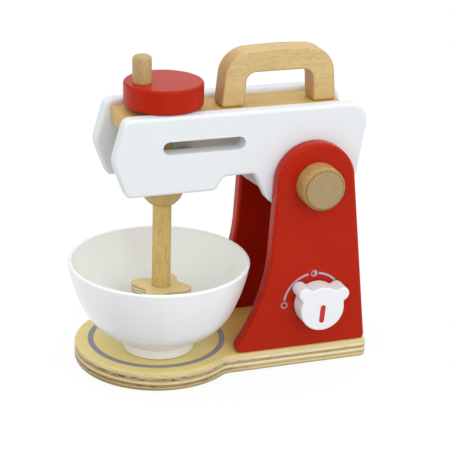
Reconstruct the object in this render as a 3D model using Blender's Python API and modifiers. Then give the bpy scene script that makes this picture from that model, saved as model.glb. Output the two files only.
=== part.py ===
# Toy stand mixer in painted board, beech and birch plywood.
# Metres, +Z up. +X runs from the bowl to the pivot, and -Y is the side that carries the dial.
# The origin is the centre of the round end of the base, on the surface that the toy stands on.
import math

import bmesh
import bpy
from mathutils import Vector

MM = 0.001

# Gaps between pieces
SEAT_GAP = 0.3 * MM            # between glued, pressed or resting faces
RUN_GAP = 0.5 * MM             # between faces that move past each other
CUT_OVERRUN = 1.5 * MM         # how far a cutter stands past a face that it opens
CHORD_SAG = 0.1 * MM           # how far a straight step may stray from its arc
MERGE_DISTANCE = 0.002 * MM    # points nearer than this are one point

# Base board: a disc under the bowl, a neck on each side, and a rectangle under the stand
BASE_THICK = 14.5 * MM
BASE_DISC_RADIUS = 62.2 * MM
BASE_SIDE_LEDGE = 2.6 * MM      # of the base beside a stand plate
BASE_END_LEDGE = 1.2 * MM       # of the base behind the heel of the stand
BASE_NECK_RADIUS = 12.0 * MM
BASE_CORNER_RADIUS = 5.0 * MM
BASE_EDGE_ROUND = 2.4 * MM

# Painted plates of the stand and the head
PLATE_THICK = 12.0 * MM
PLATE_EDGE_ROUND = 2.6 * MM
HEAD_INNER_HALF = 20.2 * MM    # from the middle plane to the inner face of a head plate

# Pivot of the head, in the stand plates
PIVOT_X = 107.8 * MM
PIVOT_Z = 145.2 * MM
PIVOT_AXLE_RADIUS = 9.0 * MM
CAP_RADIUS = 16.5 * MM
CAP_LENGTH = 15.8 * MM
CAP_FACE_ROUND = 3.8 * MM
CAP_SOCKET_DEPTH = 8.0 * MM

# Stand plate, seen from the dial side
STAND_ARCH_RADIUS = 30.5 * MM
STAND_FRONT_LEAN = math.radians(2.85)
STAND_TOE_X = 50.0 * MM
STAND_TOE_RADIUS = 4.0 * MM
STAND_TOE_LEAN = math.radians(32.5)
STAND_SWEEP_RADIUS = 144.0 * MM
STAND_SWEEP_HEIGHT = 40.9 * MM  # corner of the front sweep above the base
STAND_HEEL_X = 153.9 * MM
STAND_FOOT_ROUND = 2.8 * MM

# Stop dowel between the stand plates, on a circle about the pivot
STOP_RADIUS = 6.0 * MM
STOP_ORBIT = 28.0 * MM
STOP_ANGLE = math.radians(-60.0)
STOP_SOCKET_DEPTH = 8.0 * MM
TILT_RANGE = math.radians(45.0)
NOTCH_DEPTH_GAP = 0.6 * MM      # between the floor of the notch and the stop dowel

# Head plate, seen from the dial side: top, nose, chin, notch and lobe
HEAD_TOP_Z = 200.0 * MM
HEAD_TOP_FRONT_X = -33.9 * MM
HEAD_TOP_FRONT_RADIUS = 7.0 * MM
HEAD_NOSE_X = -42.7 * MM
HEAD_NOSE_Z = 168.3 * MM
HEAD_NOSE_RADIUS = 16.0 * MM
HEAD_CHIN_X = -32.7 * MM
HEAD_CHIN_RADIUS = 5.0 * MM
HEAD_BOTTOM_Z = 141.7 * MM
HEAD_STEP_X = 34.0 * MM
HEAD_STEP_RUN = 6.1 * MM
HEAD_STEP_RISE = 10.2 * MM
HEAD_STEP_RADIUS = 5.0 * MM
HEAD_LOBE_X = 64.1 * MM
HEAD_LOBE_EDGE_RADIUS = 4.5 * MM
HEAD_LOBE_BEND_X = 74.2 * MM
HEAD_LOBE_BEND_Z = 130.8 * MM
HEAD_LOBE_BEND_RADIUS = 11.3 * MM
HEAD_LOBE_RADIUS = 31.6 * MM
HEAD_REAR_X = 144.8 * MM        # rear edge at the height of the pivot
HEAD_REAR_LEAN = 0.15           # how far the rear edge goes back for each length that it rises
HEAD_TOP_REAR_RADIUS = 14.0 * MM
HEAD_LOW_REAR_RADIUS = 6.0 * MM

# Slot through each head plate
SLOT_FRONT_X = -6.3 * MM
SLOT_REAR_X = 55.8 * MM
SLOT_HEIGHT = 9.7 * MM
SLOT_Z = 177.1 * MM

# Board on top between the head plates, and block at the bottom
TOP_BOARD_THICK = 12.1 * MM
TOP_BOARD_DROP = 3.5 * MM       # below the top edge of the head plates
TOP_BOARD_FRONT_X = -30.9 * MM
TOP_BOARD_REAR_X = 137.4 * MM
BOARD_EDGE_ROUND = 1.2 * MM
BLOCK_HEIGHT = 17.4 * MM
BLOCK_FRONT_X = -18.0 * MM
BLOCK_REAR_X = 31.8 * MM

# Hidden dowels that join the head plates to the board and the block
DOWEL_RADIUS = 3.0 * MM
DOWEL_REACH = 8.0 * MM          # into each of the two pieces that it joins
BOARD_DOWEL_SHARES = (0.08, 0.4, 0.72)  # along the top board, from its front end
BLOCK_DOWEL_INSET = 7.0 * MM    # from each end of the block

# Carrying handle, an arch of solid wood
HANDLE_X = 89.5 * MM
HANDLE_THICK = 18.0 * MM
HANDLE_FOOT_HALF = 45.1 * MM
HANDLE_FOOT_ROUND = 2.2 * MM
HANDLE_SHOULDER_HALF = 41.2 * MM
HANDLE_SHOULDER_HEIGHT = 40.7 * MM
HANDLE_SHOULDER_RADIUS = 21.0 * MM
HANDLE_CROWN_HEIGHT = 42.5 * MM
HANDLE_CROWN_RADIUS = 250.0 * MM
GRIP_FOOT_HALF = 26.8 * MM
GRIP_TOP_HALF = 25.4 * MM
GRIP_HEIGHT = 24.9 * MM
GRIP_RADIUS = 7.5 * MM
HANDLE_EDGE_ROUND = 2.0 * MM

# Crank disc, its peg and the washer under it
CRANK_X = 3.3 * MM
DISC_RADIUS = 29.3 * MM
DISC_THICK = 17.8 * MM
DISC_EDGE_ROUND = 2.0 * MM
DISC_LIFT = 3.8 * MM            # above the top board
DISC_SOCKET_DEPTH = 11.0 * MM
WASHER_RADIUS = 11.0 * MM
PEG_RADIUS = 7.0 * MM
PEG_ORBIT = 16.3 * MM
PEG_HEIGHT = 19.8 * MM
PEG_SOCKET_DEPTH = 9.0 * MM
PEG_TOP_ROUND = 3.2 * MM

# Whisk: shaft, half ball under the block, and cross-shaped paddle
SHAFT_RADIUS = 7.0 * MM
COLLAR_RADIUS = 16.0 * MM
COLLAR_STRAIGHT = 3.7 * MM      # straight band above the half ball
PADDLE_TOP_Z = 58.1 * MM
PADDLE_THICK = 7.2 * MM
PADDLE_MEAN_RADIUS = 19.0 * MM
PADDLE_LOBE_DEPTH = 4.4 * MM
PADDLE_LOBES = 4
PADDLE_TURN = math.radians(57.5)
PADDLE_EDGE_ROUND = 0.6 * MM

# Mixing bowl, loose on the base
BOWL_X = -2.4 * MM
BOWL_Y = -12.7 * MM
BOWL_RIM_RADIUS = 67.4 * MM
BOWL_HEIGHT = 69.9 * MM
BOWL_WALL = 3.0 * MM
BOWL_RIM_LEAN = math.radians(9.7)
BOWL_SIDE_RADIUS = 136.0 * MM
BOWL_BELLY_LEAN = math.radians(25.2)
BOWL_BELLY_RADIUS = 40.4 * MM
BOWL_HULL_LEAN = math.radians(56.5)   # of the straight part that runs down to the foot
BOWL_FLOOR_HEIGHT = 5.0 * MM          # underside of the floor above the foot's edge
BOWL_FOOT_TOP_RADIUS = 28.0 * MM
BOWL_FOOT_RADIUS = 27.0 * MM
BOWL_FOOT_WALL = 3.2 * MM
BOWL_FOOT_ROUND = 0.8 * MM

# Dial: a knob with the outline of a round head with two ears, on a dowel
DIAL_X = 110.7 * MM
DIAL_Z = 50.8 * MM
DIAL_THICK = 15.8 * MM
DIAL_TURN = math.radians(4.5)   # leans clockwise, seen from the dial side
DIAL_HEAD_RADIUS = 17.2 * MM
DIAL_EAR_RADIUS = 5.2 * MM
DIAL_EAR_OUT = 14.9 * MM
DIAL_EAR_UP = 11.7 * MM
DIAL_BLEND_RADIUS = 2.6 * MM
DIAL_EDGE_ROUND = 1.2 * MM
DIAL_AXLE_RADIUS = 4.0 * MM
DIAL_SOCKET_DEPTH = 9.0 * MM
RETAINER_RADIUS = 8.5 * MM
RETAINER_THICK = 5.0 * MM

# Countersunk wood screws
SCREW_HEAD_RADIUS = 3.8 * MM
SCREW_HEAD_DEPTH = 2.6 * MM
SCREW_RADIUS = 1.9 * MM
SCREW_SINK = 0.6 * MM           # head below the face
SCREW_POINT = 3.5 * MM
BASE_SCREW_BITE = 17.0 * MM     # into the stand plate
BASE_SCREW_FRONT_INSET = 18.6 * MM
BASE_SCREW_REAR_INSET = 19.3 * MM
HANDLE_SCREW_BITE = 14.0 * MM

# Facets round a full turn
FINE_STEPS = 60
ROUND_STEPS = 32
SMALL_STEPS = 16

# Places that follow from the sizes above
BASE_TOP = BASE_THICK
BASE_END_X = STAND_HEEL_X + BASE_END_LEDGE
STAND_FOOT_Z = BASE_TOP + SEAT_GAP
HEAD_PLATE_MID = HEAD_INNER_HALF + PLATE_THICK / 2
STAND_INNER_HALF = HEAD_INNER_HALF + PLATE_THICK + RUN_GAP
STAND_OUTER_HALF = STAND_INNER_HALF + PLATE_THICK
STAND_PLATE_MID = STAND_INNER_HALF + PLATE_THICK / 2
BASE_HALF_WIDTH = STAND_OUTER_HALF + BASE_SIDE_LEDGE
STOP_X = PIVOT_X + STOP_ORBIT * math.cos(STOP_ANGLE)
STOP_Z = PIVOT_Z + STOP_ORBIT * math.sin(STOP_ANGLE)
TOP_BOARD_TOP = HEAD_TOP_Z - TOP_BOARD_DROP
TOP_BOARD_BOTTOM = TOP_BOARD_TOP - TOP_BOARD_THICK
TOP_BOARD_MID_Z = TOP_BOARD_TOP - TOP_BOARD_THICK / 2
BOARD_HALF_WIDTH = HEAD_INNER_HALF - SEAT_GAP
BLOCK_TOP = HEAD_BOTTOM_Z + BLOCK_HEIGHT
BLOCK_MID_Z = HEAD_BOTTOM_Z + BLOCK_HEIGHT / 2
HANDLE_FOOT_Z = TOP_BOARD_TOP + SEAT_GAP
HANDLE_LEG_X = (HANDLE_FOOT_HALF + GRIP_FOOT_HALF) / 2
DISC_BOTTOM = TOP_BOARD_TOP + DISC_LIFT
DISC_TOP = DISC_BOTTOM + DISC_THICK
PEG_X = CRANK_X - PEG_ORBIT
COLLAR_TOP = HEAD_BOTTOM_Z - RUN_GAP
PADDLE_BOTTOM_Z = PADDLE_TOP_Z - PADDLE_THICK
BOWL_FOOT_Z = BASE_TOP + SEAT_GAP

for old in list(bpy.data.objects):
    bpy.data.objects.remove(old, do_unlink=True)

toy = bpy.data.collections.new("toy_mixer")
cutters = bpy.data.collections.new("cutters")
bpy.context.scene.collection.children.link(toy)
bpy.context.scene.collection.children.link(cutters)


def paint(name, colour, roughness, metallic=0.0):
    """A plain Principled material."""
    material = bpy.data.materials.new(name)
    material.use_nodes = True
    shader = material.node_tree.nodes["Principled BSDF"]
    shader.inputs["Base Color"].default_value = (*colour, 1.0)
    shader.inputs["Roughness"].default_value = roughness
    shader.inputs["Metallic"].default_value = metallic
    return material


RED_PAINT = paint("red_paint", (0.47, 0.022, 0.010), 0.35)
WHITE_PAINT = paint("white_paint", (0.80, 0.83, 0.85), 0.40)
BEECH = paint("beech", (0.60, 0.40, 0.18), 0.55)
BIRCH_PLY = paint("birch_plywood", (0.70, 0.54, 0.27), 0.50)
WHITE_PLASTIC = paint("white_plastic", (0.84, 0.84, 0.82), 0.22)
ZINC_STEEL = paint("zinc_steel", (0.62, 0.62, 0.60), 0.35, 1.0)


# Outlines, as lists of 2D points

def arc(centre, radius, start, end):
    """Points on an arc between two angles, both ends included."""
    step = 2 * math.acos(1 - CHORD_SAG / max(radius, 2 * CHORD_SAG))
    count = max(2, math.ceil(abs(end - start) / step))
    angles = [start + (end - start) * i / count for i in range(count + 1)]
    return [Vector((centre[0] + radius * math.cos(a), centre[1] + radius * math.sin(a))) for a in angles]


def angle_of(centre, point):
    return math.atan2(point[1] - centre[1], point[0] - centre[0])


def arc_between(centre, radius, start_point, end_point, turn):
    """An arc from one point to another; turn is 1 for anticlockwise and -1 for clockwise."""
    start = angle_of(centre, start_point)
    end = angle_of(centre, end_point)
    if turn > 0 and end < start:
        end += math.tau
    if turn < 0 and end > start:
        end -= math.tau
    return arc(centre, radius, start, end)


def rounded_outline(corners):
    """A closed outline through corners (across, up, radius), each rounded by its own radius."""
    points = []
    for index, (across, up, radius) in enumerate(corners):
        corner = Vector((across, up))
        before = Vector(corners[index - 1][:2]) - corner
        after = Vector(corners[(index + 1) % len(corners)][:2]) - corner
        half = before.angle(after) / 2
        bisector = (before.normalized() + after.normalized()).normalized()
        centre = corner + bisector * (radius / math.sin(half))
        reach = radius / math.tan(half)
        start = corner + before.normalized() * reach
        end = corner + after.normalized() * reach
        turn = 1 if (start - centre).x * (end - centre).y > (start - centre).y * (end - centre).x else -1
        points += arc_between(centre, radius, start, end, turn)
    return points


def circle_touching(centre_a, radius_a, centre_b, radius_b, blend, side):
    """Centre of a circle of radius blend that touches two circles from outside, on one side."""
    far_a = radius_a + blend
    far_b = radius_b + blend
    across = centre_b - centre_a
    gap = across.length
    along = (far_a ** 2 - far_b ** 2 + gap ** 2) / (2 * gap)
    off = math.sqrt(far_a ** 2 - along ** 2)
    direction = across.normalized()
    normal = Vector((-direction.y, direction.x))
    return centre_a + direction * along + normal * off * side


def base_outline():
    """Disc, necks and rectangle of the base, seen from above."""
    reach = BASE_DISC_RADIUS + BASE_NECK_RADIUS
    neck_y = BASE_HALF_WIDTH + BASE_NECK_RADIUS
    neck_x = math.sqrt(reach ** 2 - neck_y ** 2)
    upper = Vector((neck_x, neck_y))
    lower = Vector((neck_x, -neck_y))
    on_disc = upper * (BASE_DISC_RADIUS / reach)
    middle = Vector((0, 0))
    points = arc(middle, BASE_DISC_RADIUS, angle_of(middle, on_disc), math.tau - angle_of(middle, on_disc))
    points += arc_between(lower, BASE_NECK_RADIUS, points[-1], Vector((neck_x, -BASE_HALF_WIDTH)), -1)
    corner_x = BASE_END_X - BASE_CORNER_RADIUS
    corner_y = BASE_HALF_WIDTH - BASE_CORNER_RADIUS
    points += arc(Vector((corner_x, -corner_y)), BASE_CORNER_RADIUS, -math.pi / 2, 0)
    points += arc(Vector((corner_x, corner_y)), BASE_CORNER_RADIUS, 0, math.pi / 2)
    points += arc_between(upper, BASE_NECK_RADIUS, Vector((neck_x, BASE_HALF_WIDTH)), on_disc, -1)
    return points


def stand_outline():
    """A foot that sweeps up to a round arch about the pivot."""
    top_z = PIVOT_Z + STAND_ARCH_RADIUS
    sweep_z = STAND_FOOT_Z + STAND_SWEEP_HEIGHT
    # the rear edge runs from the heel and touches the arch
    to_pivot = Vector((PIVOT_X - STAND_HEEL_X, PIVOT_Z - STAND_FOOT_Z))
    lean = math.atan2(-to_pivot.x, to_pivot.y) - math.asin(STAND_ARCH_RADIUS / to_pivot.length)
    rear_top_x = STAND_HEEL_X - math.tan(lean) * (top_z - STAND_FOOT_Z)
    # the front edge touches the arch too, and leans out a little on its way down to the sweep
    front_level_x = PIVOT_X - STAND_ARCH_RADIUS / math.cos(STAND_FRONT_LEAN)
    front_top_x = front_level_x + math.tan(STAND_FRONT_LEAN) * STAND_ARCH_RADIUS
    sweep_x = front_level_x - math.tan(STAND_FRONT_LEAN) * (PIVOT_Z - sweep_z)
    # below the sweep the edge leans out to the toe
    toe_top_z = sweep_z - (sweep_x - STAND_TOE_X) / math.tan(STAND_TOE_LEAN)
    return rounded_outline([
        (STAND_TOE_X, STAND_FOOT_Z, STAND_FOOT_ROUND),
        (STAND_HEEL_X, STAND_FOOT_Z, STAND_FOOT_ROUND),
        (rear_top_x, top_z, STAND_ARCH_RADIUS),
        (front_top_x, top_z, STAND_ARCH_RADIUS),
        (sweep_x, sweep_z, STAND_SWEEP_RADIUS),
        (STAND_TOE_X, toe_top_z, STAND_TOE_RADIUS),
    ])


def head_outline():
    """Nose, flat bottom, step up, lobe round the pivot, and rear edge."""
    lobe_z = PIVOT_Z - HEAD_LOBE_RADIUS
    # the line from the bend of the lobe touches the circle round the pivot
    to_pivot = Vector((PIVOT_X - HEAD_LOBE_BEND_X, PIVOT_Z - HEAD_LOBE_BEND_Z))
    slope = angle_of(Vector((0, 0)), to_pivot) - math.asin(HEAD_LOBE_RADIUS / to_pivot.length)
    lobe_x = HEAD_LOBE_BEND_X + (lobe_z - HEAD_LOBE_BEND_Z) / math.tan(slope)
    rear_low_x = HEAD_REAR_X + HEAD_REAR_LEAN * (lobe_z - PIVOT_Z)
    rear_top_x = HEAD_REAR_X + HEAD_REAR_LEAN * (HEAD_TOP_Z - PIVOT_Z)
    step_z = HEAD_BOTTOM_Z + HEAD_STEP_RISE
    return rounded_outline([
        (HEAD_CHIN_X, HEAD_BOTTOM_Z, HEAD_CHIN_RADIUS),
        (HEAD_STEP_X, HEAD_BOTTOM_Z, HEAD_STEP_RADIUS),
        (HEAD_STEP_X + HEAD_STEP_RUN, step_z, HEAD_STEP_RADIUS),
        (HEAD_LOBE_X, step_z, HEAD_LOBE_EDGE_RADIUS),
        (HEAD_LOBE_BEND_X, HEAD_LOBE_BEND_Z, HEAD_LOBE_BEND_RADIUS),
        (lobe_x, lobe_z, HEAD_LOBE_RADIUS),
        (rear_low_x, lobe_z, HEAD_LOW_REAR_RADIUS),
        (rear_top_x, HEAD_TOP_Z, HEAD_TOP_REAR_RADIUS),
        (HEAD_TOP_FRONT_X, HEAD_TOP_Z, HEAD_TOP_FRONT_RADIUS),
        (HEAD_NOSE_X, HEAD_NOSE_Z, HEAD_NOSE_RADIUS),
    ])


def notch_outline():
    """Sector cut from the lobe, wide enough for the stop dowel over the whole tilt."""
    pivot = Vector((PIVOT_X, PIVOT_Z))
    touch = math.asin((STOP_RADIUS + SEAT_GAP) / STOP_ORBIT)
    floor = STOP_ORBIT - STOP_RADIUS - NOTCH_DEPTH_GAP
    outside = STOP_ORBIT + HEAD_LOBE_RADIUS
    low = STOP_ANGLE - touch
    high = STOP_ANGLE + TILT_RANGE + touch
    return arc(pivot, outside, low, high) + arc(pivot, floor, high, low)


def slot_outline():
    radius = SLOT_HEIGHT / 2
    front = Vector((SLOT_FRONT_X + radius, SLOT_Z))
    rear = Vector((SLOT_REAR_X - radius, SLOT_Z))
    return (arc(front, radius, math.pi / 2, math.pi * 3 / 2)
            + arc(rear, radius, -math.pi / 2, math.pi / 2))


def handle_outline():
    """Outer arch and grip opening as one closed line, feet on the top board."""
    foot = HANDLE_FOOT_Z
    right = [
        (HANDLE_FOOT_HALF, 0, HANDLE_FOOT_ROUND),
        (HANDLE_SHOULDER_HALF, HANDLE_SHOULDER_HEIGHT, HANDLE_SHOULDER_RADIUS),
    ]
    inner = [
        (GRIP_TOP_HALF, GRIP_HEIGHT, GRIP_RADIUS),
        (GRIP_FOOT_HALF, 0, HANDLE_FOOT_ROUND),
    ]
    corners = right + [(0, HANDLE_CROWN_HEIGHT, HANDLE_CROWN_RADIUS)]
    corners += [(-across, up, radius) for across, up, radius in reversed(right)]
    corners += [(-across, up, radius) for across, up, radius in reversed(inner)]
    corners += inner
    return rounded_outline([(HANDLE_X + across, foot + up, radius) for across, up, radius in corners])


def paddle_outline():
    """A cross with round lobes and round hollows, from one wave on a circle."""
    count = PADDLE_LOBES * 14
    points = []
    for i in range(count):
        angle = math.tau * i / count
        radius = PADDLE_MEAN_RADIUS + PADDLE_LOBE_DEPTH * math.cos(PADDLE_LOBES * (angle - PADDLE_TURN))
        points.append(Vector((radius * math.cos(angle), radius * math.sin(angle))))
    return points


def dial_outline():
    """Round head with two ears, the hollows between them blended."""
    head = Vector((0, 0))
    ear = Vector((DIAL_EAR_OUT, DIAL_EAR_UP))
    low_blend = circle_touching(head, DIAL_HEAD_RADIUS, ear, DIAL_EAR_RADIUS, DIAL_BLEND_RADIUS, -1)
    high_blend = circle_touching(head, DIAL_HEAD_RADIUS, ear, DIAL_EAR_RADIUS, DIAL_BLEND_RADIUS, 1)
    on_ear = DIAL_EAR_RADIUS / (DIAL_EAR_RADIUS + DIAL_BLEND_RADIUS)
    low_head = head + (low_blend - head).normalized() * DIAL_HEAD_RADIUS
    high_head = head + (high_blend - head).normalized() * DIAL_HEAD_RADIUS
    low_ear = ear.lerp(low_blend, on_ear)
    high_ear = ear.lerp(high_blend, on_ear)
    right = arc_between(head, DIAL_HEAD_RADIUS, Vector((0, -DIAL_HEAD_RADIUS)), low_head, 1)
    right += arc_between(low_blend, DIAL_BLEND_RADIUS, low_head, low_ear, -1)
    right += arc_between(ear, DIAL_EAR_RADIUS, low_ear, high_ear, 1)
    right += arc_between(high_blend, DIAL_BLEND_RADIUS, high_ear, high_head, -1)
    right += arc_between(head, DIAL_HEAD_RADIUS, high_head, Vector((0, DIAL_HEAD_RADIUS)), 1)
    return right + [Vector((-point.x, point.y)) for point in reversed(right)]


# Makers of pieces

def axis_empty(name, place, parent=None):
    """An empty on a joint's axis, for the pieces that move about it."""
    empty = bpy.data.objects.new(name, None)
    toy.objects.link(empty)
    empty.parent = parent
    empty.location = Vector(place) - (parent.matrix_world.translation if parent else Vector())
    bpy.context.view_layer.update()
    return empty


def finish(piece, material, parent=None, sharp=math.radians(35)):
    """Give a piece its material and shading, and hang it on its joint's empty."""
    piece.data.materials.clear()
    piece.data.materials.append(material)
    piece.data.shade_smooth()
    piece.data.set_sharp_from_angle(angle=sharp)
    if parent:
        piece.location -= parent.matrix_world.translation
        piece.parent = parent
    bpy.context.view_layer.update()
    return piece


def new_piece(name, mesh, collection=toy):
    piece = bpy.data.objects.new(name, mesh)
    collection.objects.link(piece)
    return piece


def as_cutter(piece):
    piece.hide_render = True
    piece.display_type = "WIRE"
    return piece


def flat_piece(name, outline, thickness, place=(0, 0, 0), upright=True, turn=0.0, collection=toy):
    """A board cut to an outline. Upright boards have their outline in X and Z, flat ones in X and Y."""
    curve = bpy.data.curves.new(name, "CURVE")
    curve.dimensions = "2D"
    curve.fill_mode = "BOTH"
    curve.extrude = thickness / 2
    kept = [p for i, p in enumerate(outline) if (p - outline[i - 1]).length > MERGE_DISTANCE]
    spline = curve.splines.new("POLY")
    spline.points.add(len(kept) - 1)
    for point, spot in zip(spline.points, kept):
        point.co = (spot.x, spot.y, 0, 1)
    spline.use_cyclic_u = True
    drawn = new_piece(name + "_drawn", curve, collection)
    bpy.context.view_layer.update()
    mesh = bpy.data.meshes.new_from_object(drawn.evaluated_get(bpy.context.evaluated_depsgraph_get()))
    bpy.data.objects.remove(drawn, do_unlink=True)
    shape = bmesh.new()
    shape.from_mesh(mesh)
    bmesh.ops.remove_doubles(shape, verts=shape.verts, dist=MERGE_DISTANCE)
    bmesh.ops.dissolve_limit(shape, angle_limit=math.radians(0.3), verts=shape.verts, edges=shape.edges)
    bmesh.ops.recalc_face_normals(shape, faces=shape.faces)
    shape.to_mesh(mesh)
    shape.free()
    piece = new_piece(name, mesh, collection)
    piece.location = place
    piece.rotation_euler = (math.pi / 2, -turn, 0) if upright else (0, 0, turn)
    return piece


def round_edges(piece, width, segments=3):
    """Round the long edges between the faces and the sides of a board."""
    bevel = piece.modifiers.new("edge_round", "BEVEL")
    bevel.width = width
    bevel.segments = segments
    bevel.limit_method = "ANGLE"
    bevel.angle_limit = math.radians(50)
    bevel.use_clamp_overlap = True
    return piece


def dowel(name, radius, length, place, along="Z", steps=SMALL_STEPS, collection=toy):
    """A plain round bar centred at its place."""
    shape = bmesh.new()
    bmesh.ops.create_cone(shape, cap_ends=True, segments=steps, radius1=radius, radius2=radius, depth=length)
    mesh = bpy.data.meshes.new(name)
    shape.to_mesh(mesh)
    shape.free()
    piece = new_piece(name, mesh, collection)
    piece.location = place
    if along == "Y":
        piece.rotation_euler = (math.pi / 2, 0, 0)
    return piece


def block(name, low, high, edge_round=0.0):
    """A rectangular block between two corners."""
    size = Vector(high) - Vector(low)
    shape = bmesh.new()
    bmesh.ops.create_cube(shape, size=1)
    bmesh.ops.scale(shape, vec=size, verts=shape.verts)
    mesh = bpy.data.meshes.new(name)
    shape.to_mesh(mesh)
    shape.free()
    piece = new_piece(name, mesh)
    piece.location = Vector(low) + size / 2
    if edge_round:
        round_edges(piece, edge_round)
    return piece


def turned_piece(name, profile, place, along="Z", steps=ROUND_STEPS, ring=False, collection=toy):
    """A profile of (radius, height) turned about its axis; along "-Y" its top faces the dial side."""
    mesh = bpy.data.meshes.new(name)
    shape = bmesh.new()
    corners = [shape.verts.new((radius, 0, height)) for radius, height in profile]
    for first, second in zip(corners, corners[1:]):
        shape.edges.new((first, second))
    if ring:
        shape.edges.new((corners[-1], corners[0]))
    shape.to_mesh(mesh)
    shape.free()
    piece = new_piece(name, mesh, collection)
    piece.location = place
    if along == "-Y":
        piece.rotation_euler = (math.pi / 2, 0, 0)
    if along == "+Y":
        piece.rotation_euler = (-math.pi / 2, 0, 0)
    screw = piece.modifiers.new("turn", "SCREW")
    screw.steps = steps
    screw.render_steps = steps
    screw.use_merge_vertices = True
    screw.merge_threshold = MERGE_DISTANCE
    bpy.context.view_layer.update()
    solid = bpy.data.meshes.new_from_object(piece.evaluated_get(bpy.context.evaluated_depsgraph_get()))
    piece.modifiers.remove(screw)
    piece.data = solid
    return piece


def joined_cutter(name, pieces):
    """Several cutting shapes as one cutter, in world space."""
    bpy.context.view_layer.update()
    shape = bmesh.new()
    for piece in pieces:
        mesh = piece.data.copy()
        mesh.transform(piece.matrix_world)
        shape.from_mesh(mesh)
        bpy.data.objects.remove(piece, do_unlink=True)
    mesh = bpy.data.meshes.new(name)
    shape.to_mesh(mesh)
    shape.free()
    return as_cutter(new_piece(name, mesh, cutters))


def cut(piece, *tools):
    """Take each cutter's shape out of a piece."""
    for tool in tools:
        boolean = piece.modifiers.new("cut_" + tool.name, "BOOLEAN")
        boolean.operation = "DIFFERENCE"
        boolean.solver = "EXACT"
        boolean.object = tool
    return piece


def round_hole(name, radius, length, place, along="Z", steps=SMALL_STEPS):
    return as_cutter(dowel(name, radius, length, place, along, steps, cutters))


def screw_profile(length, grown=0.0):
    """Countersunk head at the top, plain shank, point at the bottom; grown for the hole it fits."""
    return [
        (0, grown),
        (SCREW_HEAD_RADIUS + grown, grown),
        (SCREW_RADIUS + grown, -SCREW_HEAD_DEPTH),
        (SCREW_RADIUS + grown, -length + SCREW_POINT),
        (0, -length - grown),
    ]


def screws(name, heads, length, collection=toy, grown=0.0):
    """Screws driven upwards, their heads at the places given."""
    made = []
    for index, spot in enumerate(heads, start=1):
        driven = turned_piece(f"{name}_{index}", screw_profile(length, grown), spot,
                              steps=SMALL_STEPS, collection=collection)
        driven.rotation_euler = (math.pi, 0, 0)
        made.append(driven)
    return made


def screw_cutters(name, heads, length):
    """Holes for screws: the screw's own shape grown by the seat gap, and the sink below each head."""
    sinks = []
    depth = SCREW_SINK + CUT_OVERRUN + SEAT_GAP
    for index, (x, y, z) in enumerate(heads):
        sinks.append(dowel(f"{name}_sink_{index}", SCREW_HEAD_RADIUS + SEAT_GAP, depth,
                           (x, y, z + SEAT_GAP - depth / 2), collection=cutters))
    shanks = screws(name, heads, length, cutters, SEAT_GAP)
    return [joined_cutter(name, shanks), joined_cutter(name + "_sinks", sinks)]


# Joints' axes
head_pivot = axis_empty("head_pivot", (PIVOT_X, 0, PIVOT_Z))
crank_axis = axis_empty("crank_axis", (CRANK_X, 0, TOP_BOARD_TOP), head_pivot)
dial_axis = axis_empty("dial_axis", (DIAL_X, -STAND_OUTER_HALF, DIAL_Z))
bowl_axis = axis_empty("bowl_axis", (BOWL_X, BOWL_Y, BOWL_FOOT_Z))

# Places of fasteners
base_screw_spots = [(x, y, SCREW_SINK)
                    for x in (STAND_TOE_X + BASE_SCREW_FRONT_INSET, STAND_HEEL_X - BASE_SCREW_REAR_INSET)
                    for y in (-STAND_PLATE_MID, STAND_PLATE_MID)]
base_screw_length = BASE_THICK - SCREW_SINK + BASE_SCREW_BITE
handle_screw_spots = [(HANDLE_X + side * HANDLE_LEG_X, 0, TOP_BOARD_BOTTOM + SCREW_SINK) for side in (-1, 1)]
handle_screw_length = TOP_BOARD_THICK - SCREW_SINK + HANDLE_SCREW_BITE
board_length = TOP_BOARD_REAR_X - TOP_BOARD_FRONT_X
head_dowel_spots = [(TOP_BOARD_FRONT_X + share * board_length, side * HEAD_INNER_HALF, TOP_BOARD_MID_Z)
                    for share in BOARD_DOWEL_SHARES for side in (-1, 1)]
head_dowel_spots += [(x, side * HEAD_INNER_HALF, BLOCK_MID_Z)
                     for x in (BLOCK_FRONT_X + BLOCK_DOWEL_INSET, BLOCK_REAR_X - BLOCK_DOWEL_INSET)
                     for side in (-1, 1)]

# Cutters that several pieces share
base_screw_tools = screw_cutters("base_screw_holes", base_screw_spots, base_screw_length)
handle_screw_tools = screw_cutters("handle_screw_holes", handle_screw_spots, handle_screw_length)
head_dowel_tool = joined_cutter("head_dowel_holes", [
    dowel(f"head_dowel_hole_{i}", DOWEL_RADIUS + SEAT_GAP, 2 * (DOWEL_REACH + SEAT_GAP), spot, "Y",
          collection=cutters)
    for i, spot in enumerate(head_dowel_spots)])
through_stand = 2 * (STAND_OUTER_HALF + CUT_OVERRUN)
stand_pivot_tool = round_hole("stand_pivot_hole", PIVOT_AXLE_RADIUS + SEAT_GAP, through_stand,
                              (PIVOT_X, 0, PIVOT_Z), "Y", ROUND_STEPS)
stop_length = 2 * (STAND_INNER_HALF + STOP_SOCKET_DEPTH)
stop_tool = round_hole("stop_socket", STOP_RADIUS + SEAT_GAP, stop_length, (STOP_X, 0, STOP_Z), "Y",
                       ROUND_STEPS)
through_head = 2 * (HEAD_INNER_HALF + PLATE_THICK) + RUN_GAP
head_pivot_tool = round_hole("head_pivot_hole", PIVOT_AXLE_RADIUS + RUN_GAP, through_head,
                             (PIVOT_X, 0, PIVOT_Z), "Y", ROUND_STEPS)
slot_tool = as_cutter(flat_piece("slot_cutter", slot_outline(), through_head, collection=cutters))
notch_tool = as_cutter(flat_piece("notch_cutter", notch_outline(), through_head, collection=cutters))
shaft_hole_length = DISC_BOTTOM - HEAD_BOTTOM_Z + 2 * CUT_OVERRUN
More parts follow.
